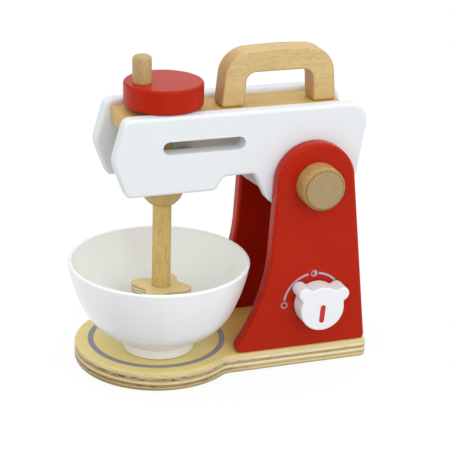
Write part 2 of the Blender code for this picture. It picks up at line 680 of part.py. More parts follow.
shaft_tool = round_hole("shaft_bearing", SHAFT_RADIUS + RUN_GAP, shaft_hole_length,
                        (CRANK_X, 0, (DISC_BOTTOM + HEAD_BOTTOM_Z) / 2), steps=ROUND_STEPS)
dial_hole_tool = round_hole("dial_bearing", DIAL_AXLE_RADIUS + RUN_GAP, PLATE_THICK + 2 * CUT_OVERRUN,
                            (DIAL_X, -STAND_PLATE_MID, DIAL_Z), "Y")


def make_base():
    board = flat_piece("base_board", base_outline(), BASE_THICK, (0, 0, BASE_THICK / 2), upright=False)
    round_edges(board, BASE_EDGE_ROUND)
    finish(cut(board, *base_screw_tools), BIRCH_PLY)
    for screw in screws("base_screw", base_screw_spots, base_screw_length):
        finish(screw, ZINC_STEEL)


def make_stand():
    for name, side in (("stand_plate_front", -1), ("stand_plate_rear", 1)):
        plate = flat_piece(name, stand_outline(), PLATE_THICK, (0, side * STAND_PLATE_MID, 0))
        round_edges(plate, PLATE_EDGE_ROUND)
        cut(plate, stand_pivot_tool, stop_tool, base_screw_tools[0])
        if side < 0:
            cut(plate, dial_hole_tool)
        finish(plate, RED_PAINT)
    stop = dowel("stop_dowel", STOP_RADIUS, stop_length - 2 * SEAT_GAP, (STOP_X, 0, STOP_Z), "Y", ROUND_STEPS)
    finish(stop, BEECH)


def make_pivot():
    length = 2 * (STAND_OUTER_HALF + CAP_SOCKET_DEPTH)
    axle = dowel("pivot_axle", PIVOT_AXLE_RADIUS, length, (PIVOT_X, 0, PIVOT_Z), "Y", ROUND_STEPS)
    finish(axle, BEECH)
    rounding = arc(Vector((CAP_RADIUS - CAP_FACE_ROUND, CAP_LENGTH - CAP_FACE_ROUND)), CAP_FACE_ROUND,
                   math.pi / 2, 0)
    socket = PIVOT_AXLE_RADIUS + SEAT_GAP
    profile = [(0, CAP_LENGTH)] + [tuple(point) for point in rounding]
    profile += [(CAP_RADIUS, 0), (socket, 0), (socket, CAP_SOCKET_DEPTH), (0, CAP_SOCKET_DEPTH)]
    for name, side, along in (("pivot_cap_front", -1, "-Y"), ("pivot_cap_rear", 1, "+Y")):
        seat = side * (STAND_OUTER_HALF + SEAT_GAP)
        finish(turned_piece(name, profile, (PIVOT_X, seat, PIVOT_Z), along), BEECH)


def make_head():
    for name, side in (("head_plate_front", -1), ("head_plate_rear", 1)):
        plate = flat_piece(name, head_outline(), PLATE_THICK, (0, side * HEAD_PLATE_MID, 0))
        round_edges(plate, PLATE_EDGE_ROUND)
        cut(plate, slot_tool, notch_tool, head_pivot_tool, head_dowel_tool)
        finish(plate, WHITE_PAINT, head_pivot)
    board = block("head_top_board", (TOP_BOARD_FRONT_X, -BOARD_HALF_WIDTH, TOP_BOARD_BOTTOM),
                  (TOP_BOARD_REAR_X, BOARD_HALF_WIDTH, TOP_BOARD_TOP), BOARD_EDGE_ROUND)
    cut(board, shaft_tool, head_dowel_tool, *handle_screw_tools)
    finish(board, BEECH, head_pivot)
    lower = block("head_lower_block", (BLOCK_FRONT_X, -BOARD_HALF_WIDTH, HEAD_BOTTOM_Z),
                  (BLOCK_REAR_X, BOARD_HALF_WIDTH, BLOCK_TOP), BOARD_EDGE_ROUND)
    cut(lower, shaft_tool, head_dowel_tool)
    finish(lower, BEECH, head_pivot)
    for i, spot in enumerate(head_dowel_spots, start=1):
        finish(dowel(f"head_dowel_{i}", DOWEL_RADIUS, 2 * DOWEL_REACH, spot, "Y"), BEECH, head_pivot)


def make_handle():
    handle = flat_piece("carry_handle", handle_outline(), HANDLE_THICK)
    round_edges(handle, HANDLE_EDGE_ROUND)
    finish(cut(handle, handle_screw_tools[0]), BEECH, head_pivot)
    for screw in screws("handle_screw", handle_screw_spots, handle_screw_length):
        finish(screw, ZINC_STEEL, head_pivot)


def make_crank():
    edge = DISC_EDGE_ROUND
    profile = [(0, DISC_THICK)]
    profile += [tuple(p) for p in arc(Vector((DISC_RADIUS - edge, DISC_THICK - edge)), edge, math.pi / 2, 0)]
    profile += [tuple(p) for p in arc(Vector((DISC_RADIUS - edge, edge)), edge, 0, -math.pi / 2)]
    profile += [(0, 0)]
    disc = turned_piece("crank_disc", profile, (CRANK_X, 0, DISC_BOTTOM), steps=FINE_STEPS)
    shaft_socket = round_hole("disc_shaft_socket", SHAFT_RADIUS + SEAT_GAP, 2 * DISC_SOCKET_DEPTH,
                              (CRANK_X, 0, DISC_BOTTOM), steps=ROUND_STEPS)
    peg_socket = round_hole("disc_peg_socket", PEG_RADIUS + SEAT_GAP, 2 * PEG_SOCKET_DEPTH,
                            (PEG_X, 0, DISC_TOP), steps=ROUND_STEPS)
    finish(cut(disc, shaft_socket, peg_socket), RED_PAINT, crank_axis)

    foot = SEAT_GAP - PEG_SOCKET_DEPTH
    crown = arc(Vector((PEG_RADIUS - PEG_TOP_ROUND, PEG_HEIGHT - PEG_TOP_ROUND)), PEG_TOP_ROUND,
                math.pi / 2, 0)
    peg_profile = [(0, PEG_HEIGHT)] + [tuple(point) for point in crown]
    peg_profile += [(PEG_RADIUS, foot), (0, foot)]
    finish(turned_piece("crank_peg", peg_profile, (PEG_X, 0, DISC_TOP)), BEECH, crank_axis)

    bore = SHAFT_RADIUS + SEAT_GAP
    low = SEAT_GAP
    high = DISC_LIFT - SEAT_GAP
    ring = [(bore, high), (WASHER_RADIUS, high), (WASHER_RADIUS, low), (bore, low)]
    washer = turned_piece("crank_washer", ring, (CRANK_X, 0, TOP_BOARD_TOP), ring=True)
    finish(washer, BEECH, crank_axis)


def make_whisk():
    top = DISC_BOTTOM + DISC_SOCKET_DEPTH - SEAT_GAP
    shaft = dowel("whisk_shaft", SHAFT_RADIUS, top - PADDLE_BOTTOM_Z,
                  (CRANK_X, 0, (top + PADDLE_BOTTOM_Z) / 2), steps=ROUND_STEPS)
    finish(shaft, BEECH, crank_axis)

    bore = SHAFT_RADIUS + SEAT_GAP
    foot_angle = math.acos(bore / COLLAR_RADIUS)
    ball = arc(Vector((0, -COLLAR_STRAIGHT)), COLLAR_RADIUS, 0, -foot_angle)
    ring = [(bore, 0), (COLLAR_RADIUS, 0)] + [tuple(point) for point in ball]
    collar = turned_piece("whisk_collar", ring, (CRANK_X, 0, COLLAR_TOP), ring=True)
    finish(collar, BEECH, crank_axis)

    paddle = flat_piece("whisk_paddle", paddle_outline(), PADDLE_THICK,
                        (CRANK_X, 0, PADDLE_TOP_Z - PADDLE_THICK / 2), upright=False)
    round_edges(paddle, PADDLE_EDGE_ROUND, 1)
    hole = round_hole("paddle_hole", bore, PADDLE_THICK + 2 * CUT_OVERRUN,
                      (CRANK_X, 0, PADDLE_TOP_Z - PADDLE_THICK / 2), steps=ROUND_STEPS)
    finish(cut(paddle, hole), BIRCH_PLY, crank_axis)


def bowl_profile():
    """From the middle of the floor up the inside, over the rim, down the outside and under the foot."""
    def out(lean):
        return Vector((math.cos(lean), -math.sin(lean)))

    def down(radius, centre, first, last):
        return [tuple(p) for p in arc(centre, radius, -first, -last)]

    def run_down(start, across=None, up=None):
        """The end of the straight part from its start to a radius or to a height."""
        drop = start.y - up if across is None else (start.x - across) / math.tan(BOWL_HULL_LEAN)
        return (start.x - drop * math.tan(BOWL_HULL_LEAN), start.y - drop)

    rim = Vector((BOWL_RIM_RADIUS, BOWL_HEIGHT - BOWL_WALL / 2))
    side_centre = rim - BOWL_SIDE_RADIUS * out(BOWL_RIM_LEAN)
    belly_start = side_centre + BOWL_SIDE_RADIUS * out(BOWL_BELLY_LEAN)
    belly_centre = belly_start - BOWL_BELLY_RADIUS * out(BOWL_BELLY_LEAN)
    inner_belly = BOWL_BELLY_RADIUS - BOWL_WALL
    inside = down(BOWL_SIDE_RADIUS - BOWL_WALL, side_centre, BOWL_RIM_LEAN, BOWL_BELLY_LEAN)
    inside += down(inner_belly, belly_centre, BOWL_BELLY_LEAN, BOWL_HULL_LEAN)[1:]
    inner_end = belly_centre + inner_belly * out(BOWL_HULL_LEAN)
    inside.append(run_down(inner_end, up=BOWL_FLOOR_HEIGHT + BOWL_WALL))
    outside = down(BOWL_SIDE_RADIUS, side_centre, BOWL_RIM_LEAN, BOWL_BELLY_LEAN)
    outside += down(BOWL_BELLY_RADIUS, belly_centre, BOWL_BELLY_LEAN, BOWL_HULL_LEAN)[1:]
    outer_end = belly_centre + BOWL_BELLY_RADIUS * out(BOWL_HULL_LEAN)
    outside.append(run_down(outer_end, across=BOWL_FOOT_TOP_RADIUS))
    lip_centre = rim - out(BOWL_RIM_LEAN) * (BOWL_WALL / 2)
    lip = [tuple(p) for p in arc(lip_centre, BOWL_WALL / 2, math.pi - BOWL_RIM_LEAN, -BOWL_RIM_LEAN)][1:-1]
    ledge = BOWL_FOOT_RADIUS - BOWL_FOOT_WALL
    foot = [
        (BOWL_FOOT_RADIUS, BOWL_FOOT_ROUND),
        (BOWL_FOOT_RADIUS - BOWL_FOOT_ROUND, 0),
        (ledge, 0),
        (ledge, BOWL_FLOOR_HEIGHT),
        (0, BOWL_FLOOR_HEIGHT),
    ]
    floor = (0, BOWL_FLOOR_HEIGHT + BOWL_WALL)
    return [floor] + inside[::-1] + lip + outside + foot


def make_bowl():
    finish(turned_piece("bowl", bowl_profile(), (BOWL_X, BOWL_Y, BOWL_FOOT_Z), steps=FINE_STEPS),
           WHITE_PLASTIC, bowl_axis)


def make_dial():
    back = STAND_OUTER_HALF + RUN_GAP
    knob = flat_piece("dial_knob", dial_outline(), DIAL_THICK, (DIAL_X, -back - DIAL_THICK / 2, DIAL_Z),
                      turn=-DIAL_TURN)
    round_edges(knob, DIAL_EDGE_ROUND)
    socket = round_hole("dial_socket", DIAL_AXLE_RADIUS + SEAT_GAP, 2 * DIAL_SOCKET_DEPTH,
                        (DIAL_X, -back, DIAL_Z), "Y")
    finish(cut(knob, socket), WHITE_PAINT, dial_axis)
    front_end = back + DIAL_SOCKET_DEPTH - SEAT_GAP
    rear_end = STAND_INNER_HALF - RUN_GAP - RETAINER_THICK
    axle = dowel("dial_axle", DIAL_AXLE_RADIUS, front_end - rear_end,
                 (DIAL_X, -(front_end + rear_end) / 2, DIAL_Z), "Y")
    finish(axle, BEECH, dial_axis)
    bore = DIAL_AXLE_RADIUS + SEAT_GAP
    ring = [(bore, RETAINER_THICK), (RETAINER_RADIUS, RETAINER_THICK), (RETAINER_RADIUS, 0), (bore, 0)]
    retainer = turned_piece("dial_retainer", ring, (DIAL_X, -rear_end, DIAL_Z), "-Y", steps=SMALL_STEPS,
                            ring=True)
    finish(retainer, BEECH, dial_axis)


make_base()
make_stand()
make_pivot()
make_head()
make_handle()
make_crank()
make_whisk()
make_bowl()
make_dial()
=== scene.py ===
# Toy stand mixer of painted board, beech and birch plywood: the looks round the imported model.
# Pieces are drawn in millimetres and stored in metres.
# +X runs from the bowl to the pivot, -Y is the dial's side.
from math import acos, asin, atan2, ceil, cos, pi, radians, sin, sqrt, tan, tau

import bmesh
import bpy
from mathutils import Matrix, Vector


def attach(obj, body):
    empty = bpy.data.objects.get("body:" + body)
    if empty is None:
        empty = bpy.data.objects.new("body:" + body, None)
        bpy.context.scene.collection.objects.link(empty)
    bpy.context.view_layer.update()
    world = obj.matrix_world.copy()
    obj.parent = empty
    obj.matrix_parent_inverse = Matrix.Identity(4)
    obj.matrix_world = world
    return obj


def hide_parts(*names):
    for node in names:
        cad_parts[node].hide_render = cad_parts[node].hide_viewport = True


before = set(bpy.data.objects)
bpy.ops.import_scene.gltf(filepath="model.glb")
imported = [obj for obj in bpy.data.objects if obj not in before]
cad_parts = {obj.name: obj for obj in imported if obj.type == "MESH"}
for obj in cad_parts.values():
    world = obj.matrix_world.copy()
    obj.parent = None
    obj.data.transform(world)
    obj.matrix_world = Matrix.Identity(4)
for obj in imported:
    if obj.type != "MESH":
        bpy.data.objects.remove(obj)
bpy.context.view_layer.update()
mm = 0.001
print("frame loaded:", len(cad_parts), "nodes")


# Camera, fitted to the edges of the photograph
view = {"azimuth": -19.70, "elevation": 21.60, "roll": 1.669, "distance": 1182.84,
        "target": (53.18, 0.0, 101.07), "lens": 125.31, "sensor": 36.0, "nearest": 10}



def placeCamera():
    turn, rise, roll = (radians(view[key]) for key in ("azimuth", "elevation", "roll"))
    back = Vector((sin(turn) * cos(rise), -cos(turn) * cos(rise), sin(rise)))
    right = Vector((cos(turn), sin(turn), 0))
    up = back.cross(right)
    tiltedRight = right * cos(roll) + up * sin(roll)
    tiltedUp = up * cos(roll) - right * sin(roll)
    data = bpy.data.cameras.new("camera")
    data.lens = view["lens"]
    data.sensor_width = view["sensor"]
    data.sensor_fit = "HORIZONTAL"
    data.clip_start = view["nearest"] * mm
    camera = bpy.data.objects.new("camera", data)
    bpy.context.scene.collection.objects.link(camera)
    spot = (Vector(view["target"]) + back * view["distance"]) * mm
    axes = Matrix((tiltedRight, tiltedUp, back)).transposed().to_4x4()
    camera.matrix_world = Matrix.Translation(spot) @ axes
    bpy.context.scene.camera = camera


placeCamera()
bpy.context.scene.view_settings.view_transform = "Standard"
print("camera placed")


# Finishes: a Value is a socket that can stand in a sum, a Finish is a material under construction

def sumRule(operation, swapped=False):
    def rule(self, other):
        return self.finish.maths(operation, *((other, self) if swapped else (self, other)))
    return rule


class Value:
    def __init__(self, finish, output):
        self.finish = finish
        self.output = output

    __add__, __radd__ = sumRule("ADD"), sumRule("ADD", True)
    __sub__, __rsub__ = sumRule("SUBTRACT"), sumRule("SUBTRACT", True)
    __mul__, __rmul__ = sumRule("MULTIPLY"), sumRule("MULTIPLY", True)
    __truediv__, __rtruediv__ = sumRule("DIVIDE"), sumRule("DIVIDE", True)

    def size(self):  # the value without its sign
        return self.finish.maths("ABSOLUTE", self)

    def fraction(self):  # what lies past the whole number below it
        return self.finish.maths("FRACT", self)

    def part(self, axis):  # one part of a vector
        return self.finish.node("SeparateXYZ", inputs={0: self}, result="XYZ".index(axis))

    def clip(self):  # the value kept between 0 and 1
        return self.finish.maths("ADD", self, 0.0, use_clamp=True)

    def above(self, level, soft):  # 0 below a level and 1 above it, with a soft step
        return ((self - level) / soft + 0.5).clip()

    def below(self, level, soft):  # the other way round
        return 1 - self.above(level, soft)

    def spread(self, gain):  # driven apart from the middle
        return ((self - 0.5) * gain + 0.5).clip()


class Finish:
    def __init__(self, name, **fixed):
        self.material = bpy.data.materials.new(name)
        self.material.use_nodes = True
        self.tree = self.material.node_tree
        self.shader = self.tree.nodes["Principled BSDF"]
        self.coords = None
        self.feed(**fixed)

    def node(self, kind, settings=None, inputs=None, result=0):
        made = self.tree.nodes.new("ShaderNode" + kind)
        for key, setting in (settings or {}).items():
            if key == "stops":
                ramp = made.color_ramp.elements
                while len(ramp) < len(setting):
                    ramp.new(1.0)
                for stop, (place, colour) in zip(ramp, setting):
                    stop.position = place
                    stop.color = (*colour, 1.0)
            else:
                setattr(made, key, setting)
        ports = [socket for socket in made.inputs if socket.enabled]
        for key, value in (inputs or {}).items():
            self.join(ports[key] if isinstance(key, int) else next(s for s in ports if s.name == key), value)
        return Value(self, [socket for socket in made.outputs if socket.enabled][result])

    def maths(self, operation, *values, **settings):
        return self.node("Math", {"operation": operation, **settings}, dict(enumerate(values)))

    def join(self, socket, value):
        if isinstance(value, Value):
            self.tree.links.new(value.output, socket)
        elif isinstance(value, tuple) and socket.type == "RGBA":
            socket.default_value = (*value, 1.0)
        else:
            socket.default_value = value

    def feed(self, **sockets):  # colour=..., roughness=... on the shader's own sockets
        names = {"colour": "Base Color", "roughness": "Roughness", "metallic": "Metallic", "normal": "Normal",
                 "specular": "Specular IOR Level", "specularTint": "Specular Tint"}
        for key, value in sockets.items():
            self.join(self.shader.inputs[names[key]], value)

    def place(self):  # Object coordinates in millimetres
        if self.coords is None:
            metres = self.node("TexCoord", result=3)
            self.coords = self.node("VectorMath", {"operation": "SCALE"}, {"Vector": metres, "Scale": 1 / mm})
        return self.coords

    def along(self, axis):  # one coordinate in millimetres
        return self.place().part(axis)

    def facing(self, axis):  # one part of the surface's own normal
        return self.node("TexCoord", result=1).part(axis)

    def noiseAt(self, vector, detail, rough):
        return self.node("TexNoise",
                         inputs={"Vector": vector, "Scale": 1.0, "Detail": detail, "Roughness": rough})

    def noise(self, lengths, detail=2.0, rough=0.5, shift=0.0):  # lengths of its blotches along X, Y and Z
        scaled = self.node("VectorMath", {"operation": "MULTIPLY_ADD"},
                           {0: self.place(), 1: tuple(1 / length for length in lengths), 2: (shift,) * 3})
        return self.noiseAt(scaled, detail, rough)

    def mix(self, factor, first, second, blend="MIX"):
        return self.node("Mix", {"data_type": "RGBA", "blend_type": blend},
                         {"Factor": factor, "A": first, "B": second})

    def ramp(self, value, stops):
        return self.node("ValToRGB", {"stops": stops}, {0: value})

    def bump(self, height, depth, strength):  # depth in millimetres
        return self.node("Bump", inputs={"Strength": strength, "Distance": depth * mm, "Height": height})

    def rays(self, kind):  # 1 for rays straight from the camera, or for reflected ones
        return self.node("LightPath", result={"camera": 0, "glossy": 3}[kind])

    def glow(self, kind, power):  # a white Emission or Background
        return self.node(kind, inputs={"Color": (1.0, 1.0, 1.0), "Strength": power})

    def between(self, factor, first, second):  # a mix of two shaders
        return self.node("MixShader", inputs={0: factor, 1: first, 2: second})

    def show(self, shader):  # on the output's surface
        output = next(node for node in self.tree.nodes if node.type.startswith("OUTPUT"))
        self.tree.links.new(shader.output, output.inputs["Surface"])


def paintFinish(name, colour, shade, roughness, sheenTint=(1.0, 1.0, 1.0), inner=None):
    made = Finish(name, specular=0.12, specularTint=sheenTint)
    cloud = made.noise((38, 38, 38), 2)
    peel = made.noise((0.9, 0.9, 0.9), 2)
    speck = made.noise((0.55, 0.55, 0.55), 1, shift=40).above(0.79, 0.05)
    body = made.mix(cloud * 0.8, colour, shade)
    if inner:  # painted shade: the faces where two plates face each other are painted darker
        innerReach = 36  # a little further out than the faces between the plates
        paintedInnerShade = (made.along("Y") * made.facing("Y") / -innerReach).above(0.84, 0.1)
        body = made.mix(paintedInnerShade, body, inner)
    paler = tuple(min(1.0, part * 1.3 + 0.03) for part in colour)
    made.feed(colour=made.mix(speck * 0.35, body, paler),
              roughness=roughness + (cloud - 0.5) * 0.10 + (peel - 0.5) * 0.05,
              normal=made.bump(peel * 0.7 + made.noise((4, 4, 4), 1) * 0.3, 0.02, 0.35))
    return made


def stretched(grain, long, across):
    return tuple(long if axis == grain else across for axis in "XYZ")


def woodFinish(name, grain, light, dark, fleck, fleckShare=0.34, fleckLength=3.6, roughness=0.48, shift=0.0,
               ends=None, endTint=None):
    made = Finish(name)
    tone = made.noise(stretched(grain, 70, 7), 3, 0.55, shift)
    fibre = made.noise(stretched(grain, 16, 0.55), 3, 0.6, shift + 3)
    rays = made.noise(stretched(grain, fleckLength, 0.42), 1, 0.5, shift + 9)
    long = made.noise(stretched(grain, fleckLength * 3, 0.8), 1, 0.5, shift + 17)
    marks = (rays.above(0.60, 0.09) * 0.75 + long.above(0.64, 0.08) * 0.5).clip()
    body = made.mix(tone.spread(1.7), light, dark)
    body = made.mix((fibre - 0.35).clip() * 0.5, body, dark)
    body = made.mix(marks * fleckShare, body, fleck)
    if endTint:  # browner where the fibres end
        body = made.mix((made.facing(grain).size() * 1.3 - 0.2).clip(), body,
                        made.mix(1.0, body, endTint, "MULTIPLY"))
    rough = roughness + (fibre - 0.5) * 0.14
    height = fibre * 0.6 - marks * 0.4
    if ends:  # an end face: greyer, with saw lines
        reach = made.along("Y").size() - ends["from"]
        face = reach.above(0, 0.16)
        # painted shade: a dark band, rim wide, on the rounding round the end face
        paintedShadeBand = (reach + ends["rim"]).above(0, 0.8) * (1 - face)
        slant = made.along("X") * cos(ends["slant"]) + made.along("Z") * sin(ends["slant"])
        cross = made.along("Z") * cos(ends["slant"]) - made.along("X") * sin(ends["slant"])
        lines = made.node("CombineXYZ", inputs={0: slant / 9.0, 1: cross / 0.42, 2: 0.0})
        saw = made.noiseAt(lines, 2.0, 0.6)
        wobble = made.noise((7, 7, 7), 1, 0.5, shift + 29) * 1.5 + 50
        rings = ((cross / ends["step"] + wobble).fraction() - 0.5).size().above(0.30, 0.20)
        hatch = ((slant / ends["hatch"] + wobble).fraction() - 0.5).size().above(0.38, 0.2)
        end = made.mix(saw.spread(1.8), ends["light"], ends["dark"])
        end = made.mix(hatch * 0.22, end, ends["line"])
        end = made.mix(rings * (0.15 + saw * 0.5), end, ends["line"])
        body = made.mix(paintedShadeBand * (0.26 + rings * 0.45), body, ends["line"])
        body = made.mix(face, body, end)
        height = height * (1 - face) + (saw - rings * 0.5) * face * 1.3
        rough = rough + face * 0.15
    made.feed(colour=body, roughness=rough, normal=made.bump(height, 0.06, 0.5))
    return made


plyDark = {"streak": (0.32, 0.19, 0.07), "hole": (0.10, 0.045, 0.014), "pore": (0.34, 0.20, 0.08)}


def plyFinish(name, top, bottom, face, faceDark, plies, voids, roughness=0.42, straightFrom=None, slip=0.0,
              paintedBounceShade=None):
    # plies: (depth share, colour where the edge runs with the grain, colour where it shows end grain)
    # voids: (depth share, how dark the holes are there)
    made = Finish(name)
    wander = made.noise((26, 26, 60), 2, 0.5)
    depth = (top - made.along("Z") + (wander - 0.5) * 0.55) / (top - bottom)
    if slip:  # the plies lie a little lower along the straight sides
        depth = depth - made.facing("Y").size().above(0.85, 0.3) * slip
    frontOn = (made.facing("Y").size() * 1.25 - 0.12).clip()
    if straightFrom:
        frontOn = frontOn * (0.30 + made.along("X").above(straightFrom, 45) * 0.70)
    longSide = made.ramp(depth, [(share, first) for share, first, second in plies])
    endSide = made.ramp(depth, [(share, second) for share, first, second in plies])
    edge = made.mix(frontOn, endSide, longSide)
    fine = made.noise((1.1, 1.1, 0.5), 3, 0.6, 5)
    streak = made.noise((9, 9, 0.35), 2, 0.6, 12)
    grime = (fine * 0.4 + streak * 0.6).above(0.53, 0.20)
    edge = made.mix(grime * (0.55 - frontOn * 0.3), edge, plyDark["streak"])
    holes = made.noise((7, 7, 1.4), 2, 0.55, 31)
    band = made.ramp(depth, [(share, (dark,) * 3) for share, dark in voids])
    holeShare = made.node("RGBToBW", inputs={0: band})
    edge = made.mix(holes.above(0.57, 0.06) * holeShare * (1 - frontOn * 0.75), edge, plyDark["hole"])
    tone = made.noise((75, 8, 8), 3, 0.55, 2)
    fibre = made.noise((15, 0.5, 0.8), 3, 0.6, 7)
    pores = made.noise((4, 0.4, 0.4), 1, 0.5, 23)
    flat = made.mix(tone.spread(1.5), face, faceDark)
    flat = made.mix((fibre - 0.4).clip() * 0.45, flat, faceDark)
    flat = made.mix(pores.above(0.66, 0.08) * 0.22, flat, plyDark["pore"])
    if paintedBounceShade:  # painted shade and painted red bounce light: the veneer is painted browner between the stand plates
        bounceShadeArea = made.along("X").above(46, 30) * made.along("Y").above(-34, 24)
        flat = made.mix(bounceShadeArea * 0.85, flat, paintedBounceShade)
    level = made.facing("Z").size().above(0.80, 0.25)
    made.feed(colour=made.mix(level, edge, flat),
              roughness=roughness + (1 - level) * 0.12 + (fibre - 0.5) * 0.1,
              normal=made.bump(fibre * level + streak * (1 - level), 0.05, 0.45))
    return made


red = ((0.45, 0.018, 0.005), (0.41, 0.014, 0.004), 0.26, (1.0, 0.88, 0.72))
redPaint = paintFinish("red_paint", *red)
# the inner colour is painted shade on the faces between the stand plates
standPaint = paintFinish("stand_paint", *red, inner=(0.30, 0.008, 0.001))
whitePaint = paintFinish("white_paint", (0.77, 0.805, 0.83), (0.745, 0.78, 0.81), 0.36)
dialPaint = paintFinish("dial_paint", (0.83, 0.85, 0.87), (0.81, 0.83, 0.855), 0.32)
paleBeech = ((0.70, 0.52, 0.235), (0.585, 0.415, 0.175), (0.27, 0.15, 0.055))
warmBeech = ((0.71, 0.48, 0.14), (0.585, 0.365, 0.10), (0.29, 0.15, 0.038))
capBeech = ((0.54, 0.34, 0.102), (0.425, 0.248, 0.072), (0.15, 0.066, 0.017))
handleWood = woodFinish("handle_beech", "X", *paleBeech, fleckShare=0.42, fleckLength=3.2,
                        endTint=(0.79, 0.63, 0.46))
boardWood = woodFinish("board_beech", "X", *warmBeech, fleckShare=0.22, fleckLength=6, shift=11)
shaftWood = woodFinish("shaft_beech", "Z", (0.67, 0.485, 0.165), (0.56, 0.38, 0.118), (0.19, 0.10, 0.03),
                       fleckShare=0.50, fleckLength=4.0, shift=23)
pegWood = woodFinish("peg_beech", "Z", (0.535, 0.395, 0.178), (0.432, 0.30, 0.12), (0.20, 0.112, 0.044),
                     fleckShare=0.50, fleckLength=3.0, shift=37)
ballWood = woodFinish("ball_beech", "Z", (0.625, 0.437, 0.165), (0.508, 0.333, 0.112), (0.22, 0.12, 0.044),
                      fleckShare=0.30, fleckLength=2.2, shift=43)
hiddenWood = woodFinish("dowel_beech", "Y", *paleBeech, fleckShare=0.3, shift=51)
capWood = woodFinish("cap_beech", "Y", *capBeech, fleckShare=0.55, fleckLength=2.6, shift=67,
                     ends={"from": 60.47, "rim": 1.1, "slant": radians(47), "step": 1.9, "hatch": 1.6,
                           "light": (0.51, 0.375, 0.195), "dark": (0.40, 0.28, 0.128),
                           "line": (0.085, 0.045, 0.015)})

basePlies = [
    (0.00, (0.72, 0.60, 0.32), (0.72, 0.61, 0.32)), (0.11, (0.72, 0.60, 0.32), (0.72, 0.61, 0.32)),
    (0.14, (0.90, 0.82, 0.58), (0.64, 0.51, 0.245)), (0.26, (0.86, 0.775, 0.53), (0.41, 0.265, 0.09)),
    (0.29, (0.48, 0.345, 0.125), (0.43, 0.285, 0.095)), (0.41, (0.48, 0.345, 0.125), (0.52, 0.395, 0.16)),
    (0.45, (0.90, 0.83, 0.59), (0.75, 0.655, 0.385)), (0.55, (0.90, 0.83, 0.59), (0.69, 0.585, 0.32)),
    (0.58, (0.57, 0.43, 0.17), (0.28, 0.155, 0.045)), (0.69, (0.57, 0.43, 0.18), (0.28, 0.155, 0.045)),
    (0.73, (0.78, 0.67, 0.38), (0.55, 0.43, 0.18)), (0.80, (0.72, 0.61, 0.33), (0.40, 0.29, 0.11)),
    # the lowest rows are painted darker towards the bottom as painted shade under the bottom rounding
    (0.84, (0.48, 0.39, 0.17), (0.36, 0.28, 0.11)), (1.00, (0.40, 0.33, 0.14), (0.34, 0.27, 0.11)),
]
baseVoids = [(0.00, 0), (0.19, 0), (0.23, 1), (0.36, 1), (0.40, 0), (0.59, 0), (0.62, 0.8), (0.71, 0.8),
             (0.75, 0)]
basePly = plyFinish("base_plywood", 14.5, 0.0, (0.83, 0.70, 0.27), (0.74, 0.59, 0.205), basePlies, baseVoids,
                    # the base's browner veneer between the plates is painted shade and red bounce light
                    roughness=0.36, straightFrom=45, slip=0.06, paintedBounceShade=(0.66, 0.38, 0.10))
paddleTan, paddleBrown, paddleCream = (0.70, 0.56, 0.28), (0.36, 0.22, 0.08), (0.90, 0.82, 0.56)
paddlePlies = [(depth, tone, tone) for depth, tone in (
    (0.00, paddleTan), (0.18, paddleTan), (0.22, paddleBrown), (0.29, paddleBrown), (0.33, paddleCream),
    (0.46, paddleCream), (0.50, paddleBrown), (0.56, paddleBrown), (0.60, paddleCream), (0.73, paddleCream),
    (0.77, paddleBrown), (0.84, paddleBrown), (0.88, paddleTan), (1.00, paddleTan))]
paddleVoids = [(0.00, 0), (0.62, 0), (0.66, 0.6), (0.74, 0.6), (0.78, 0)]
paddlePly = plyFinish("paddle_plywood", 58.1, 50.9, (0.76, 0.63, 0.285), (0.69, 0.54, 0.22), paddlePlies,
                      paddleVoids)

bowlPlastic = Finish("bowl_plastic", specular=0.5)
bowlCloud = bowlPlastic.noise((45, 45, 45), 2)
bowlPeel = bowlPlastic.noise((2.5, 2.5, 2.5), 2)
bowlOutside = bowlPlastic.mix(bowlCloud, (0.85, 0.865, 0.885), (0.835, 0.85, 0.87))
# painted light: the upward-facing inside walls are painted lighter than the outside
bowlInsidePaintedLight = bowlPlastic.mix(bowlCloud, (0.91, 0.93, 0.92), (0.89, 0.91, 0.90))
bowlWall = bowlPlastic.mix(bowlPlastic.facing("Z").above(0.0, 0.3), bowlOutside, bowlInsidePaintedLight)
# painted shade: the upward-facing lip at the rim is painted darker
bowlLipPaintedShade = bowlPlastic.along("Z").above(83.2, 1.2) * 0.8
bowlPlastic.feed(colour=bowlPlastic.mix(bowlLipPaintedShade, bowlWall, (0.84, 0.85, 0.845)),
                 roughness=0.24 + (bowlCloud - 0.5) * 0.08, normal=bowlPlastic.bump(bowlPeel, 0.02, 0.25))

zincSteel = Finish("zinc_steel", metallic=1.0)
brushed = zincSteel.noise((0.5, 0.5, 0.5), 3)
zincSteel.feed(colour=zincSteel.mix(brushed, (0.60, 0.60, 0.58), (0.50, 0.50, 0.49)),
               roughness=0.30 + brushed * 0.2, normal=zincSteel.bump(brushed, 0.02, 0.3))


def printFinish(name, colour, under, wornShare, roughness=0.5):  # thin print with slightly patchy ink
    made = Finish(name)
    patchy = made.noise((1.3, 1.3, 1.3), 3, 0.6, 4)
    made.feed(colour=made.mix(patchy.above(0.55, 0.3) * wornShare, colour, under),
              roughness=roughness + (patchy - 0.5) * 0.15, normal=made.bump(patchy, 0.02, 0.3))
    return made


ringInk = printFinish("ring_ink", (0.235, 0.235, 0.285), (0.32, 0.30, 0.29), 0.5)
scaleInk = printFinish("scale_ink", (0.46, 0.32, 0.42), (0.50, 0.24, 0.32), 0.4)
arcInk = printFinish("arc_ink", (0.41, 0.39, 0.52), (0.44, 0.24, 0.34), 0.4)
fillInk = printFinish("fill_ink", (0.30, 0.40, 0.54), (0.42, 0.30, 0.44), 0.3)
markInk = printFinish("mark_ink", (0.54, 0.010, 0.008), (0.58, 0.030, 0.024), 0.3, 0.35)
print("finishes made")


# Modelling by hand: one vertex is drawn along a line, then filled and extruded, or spun about an axis

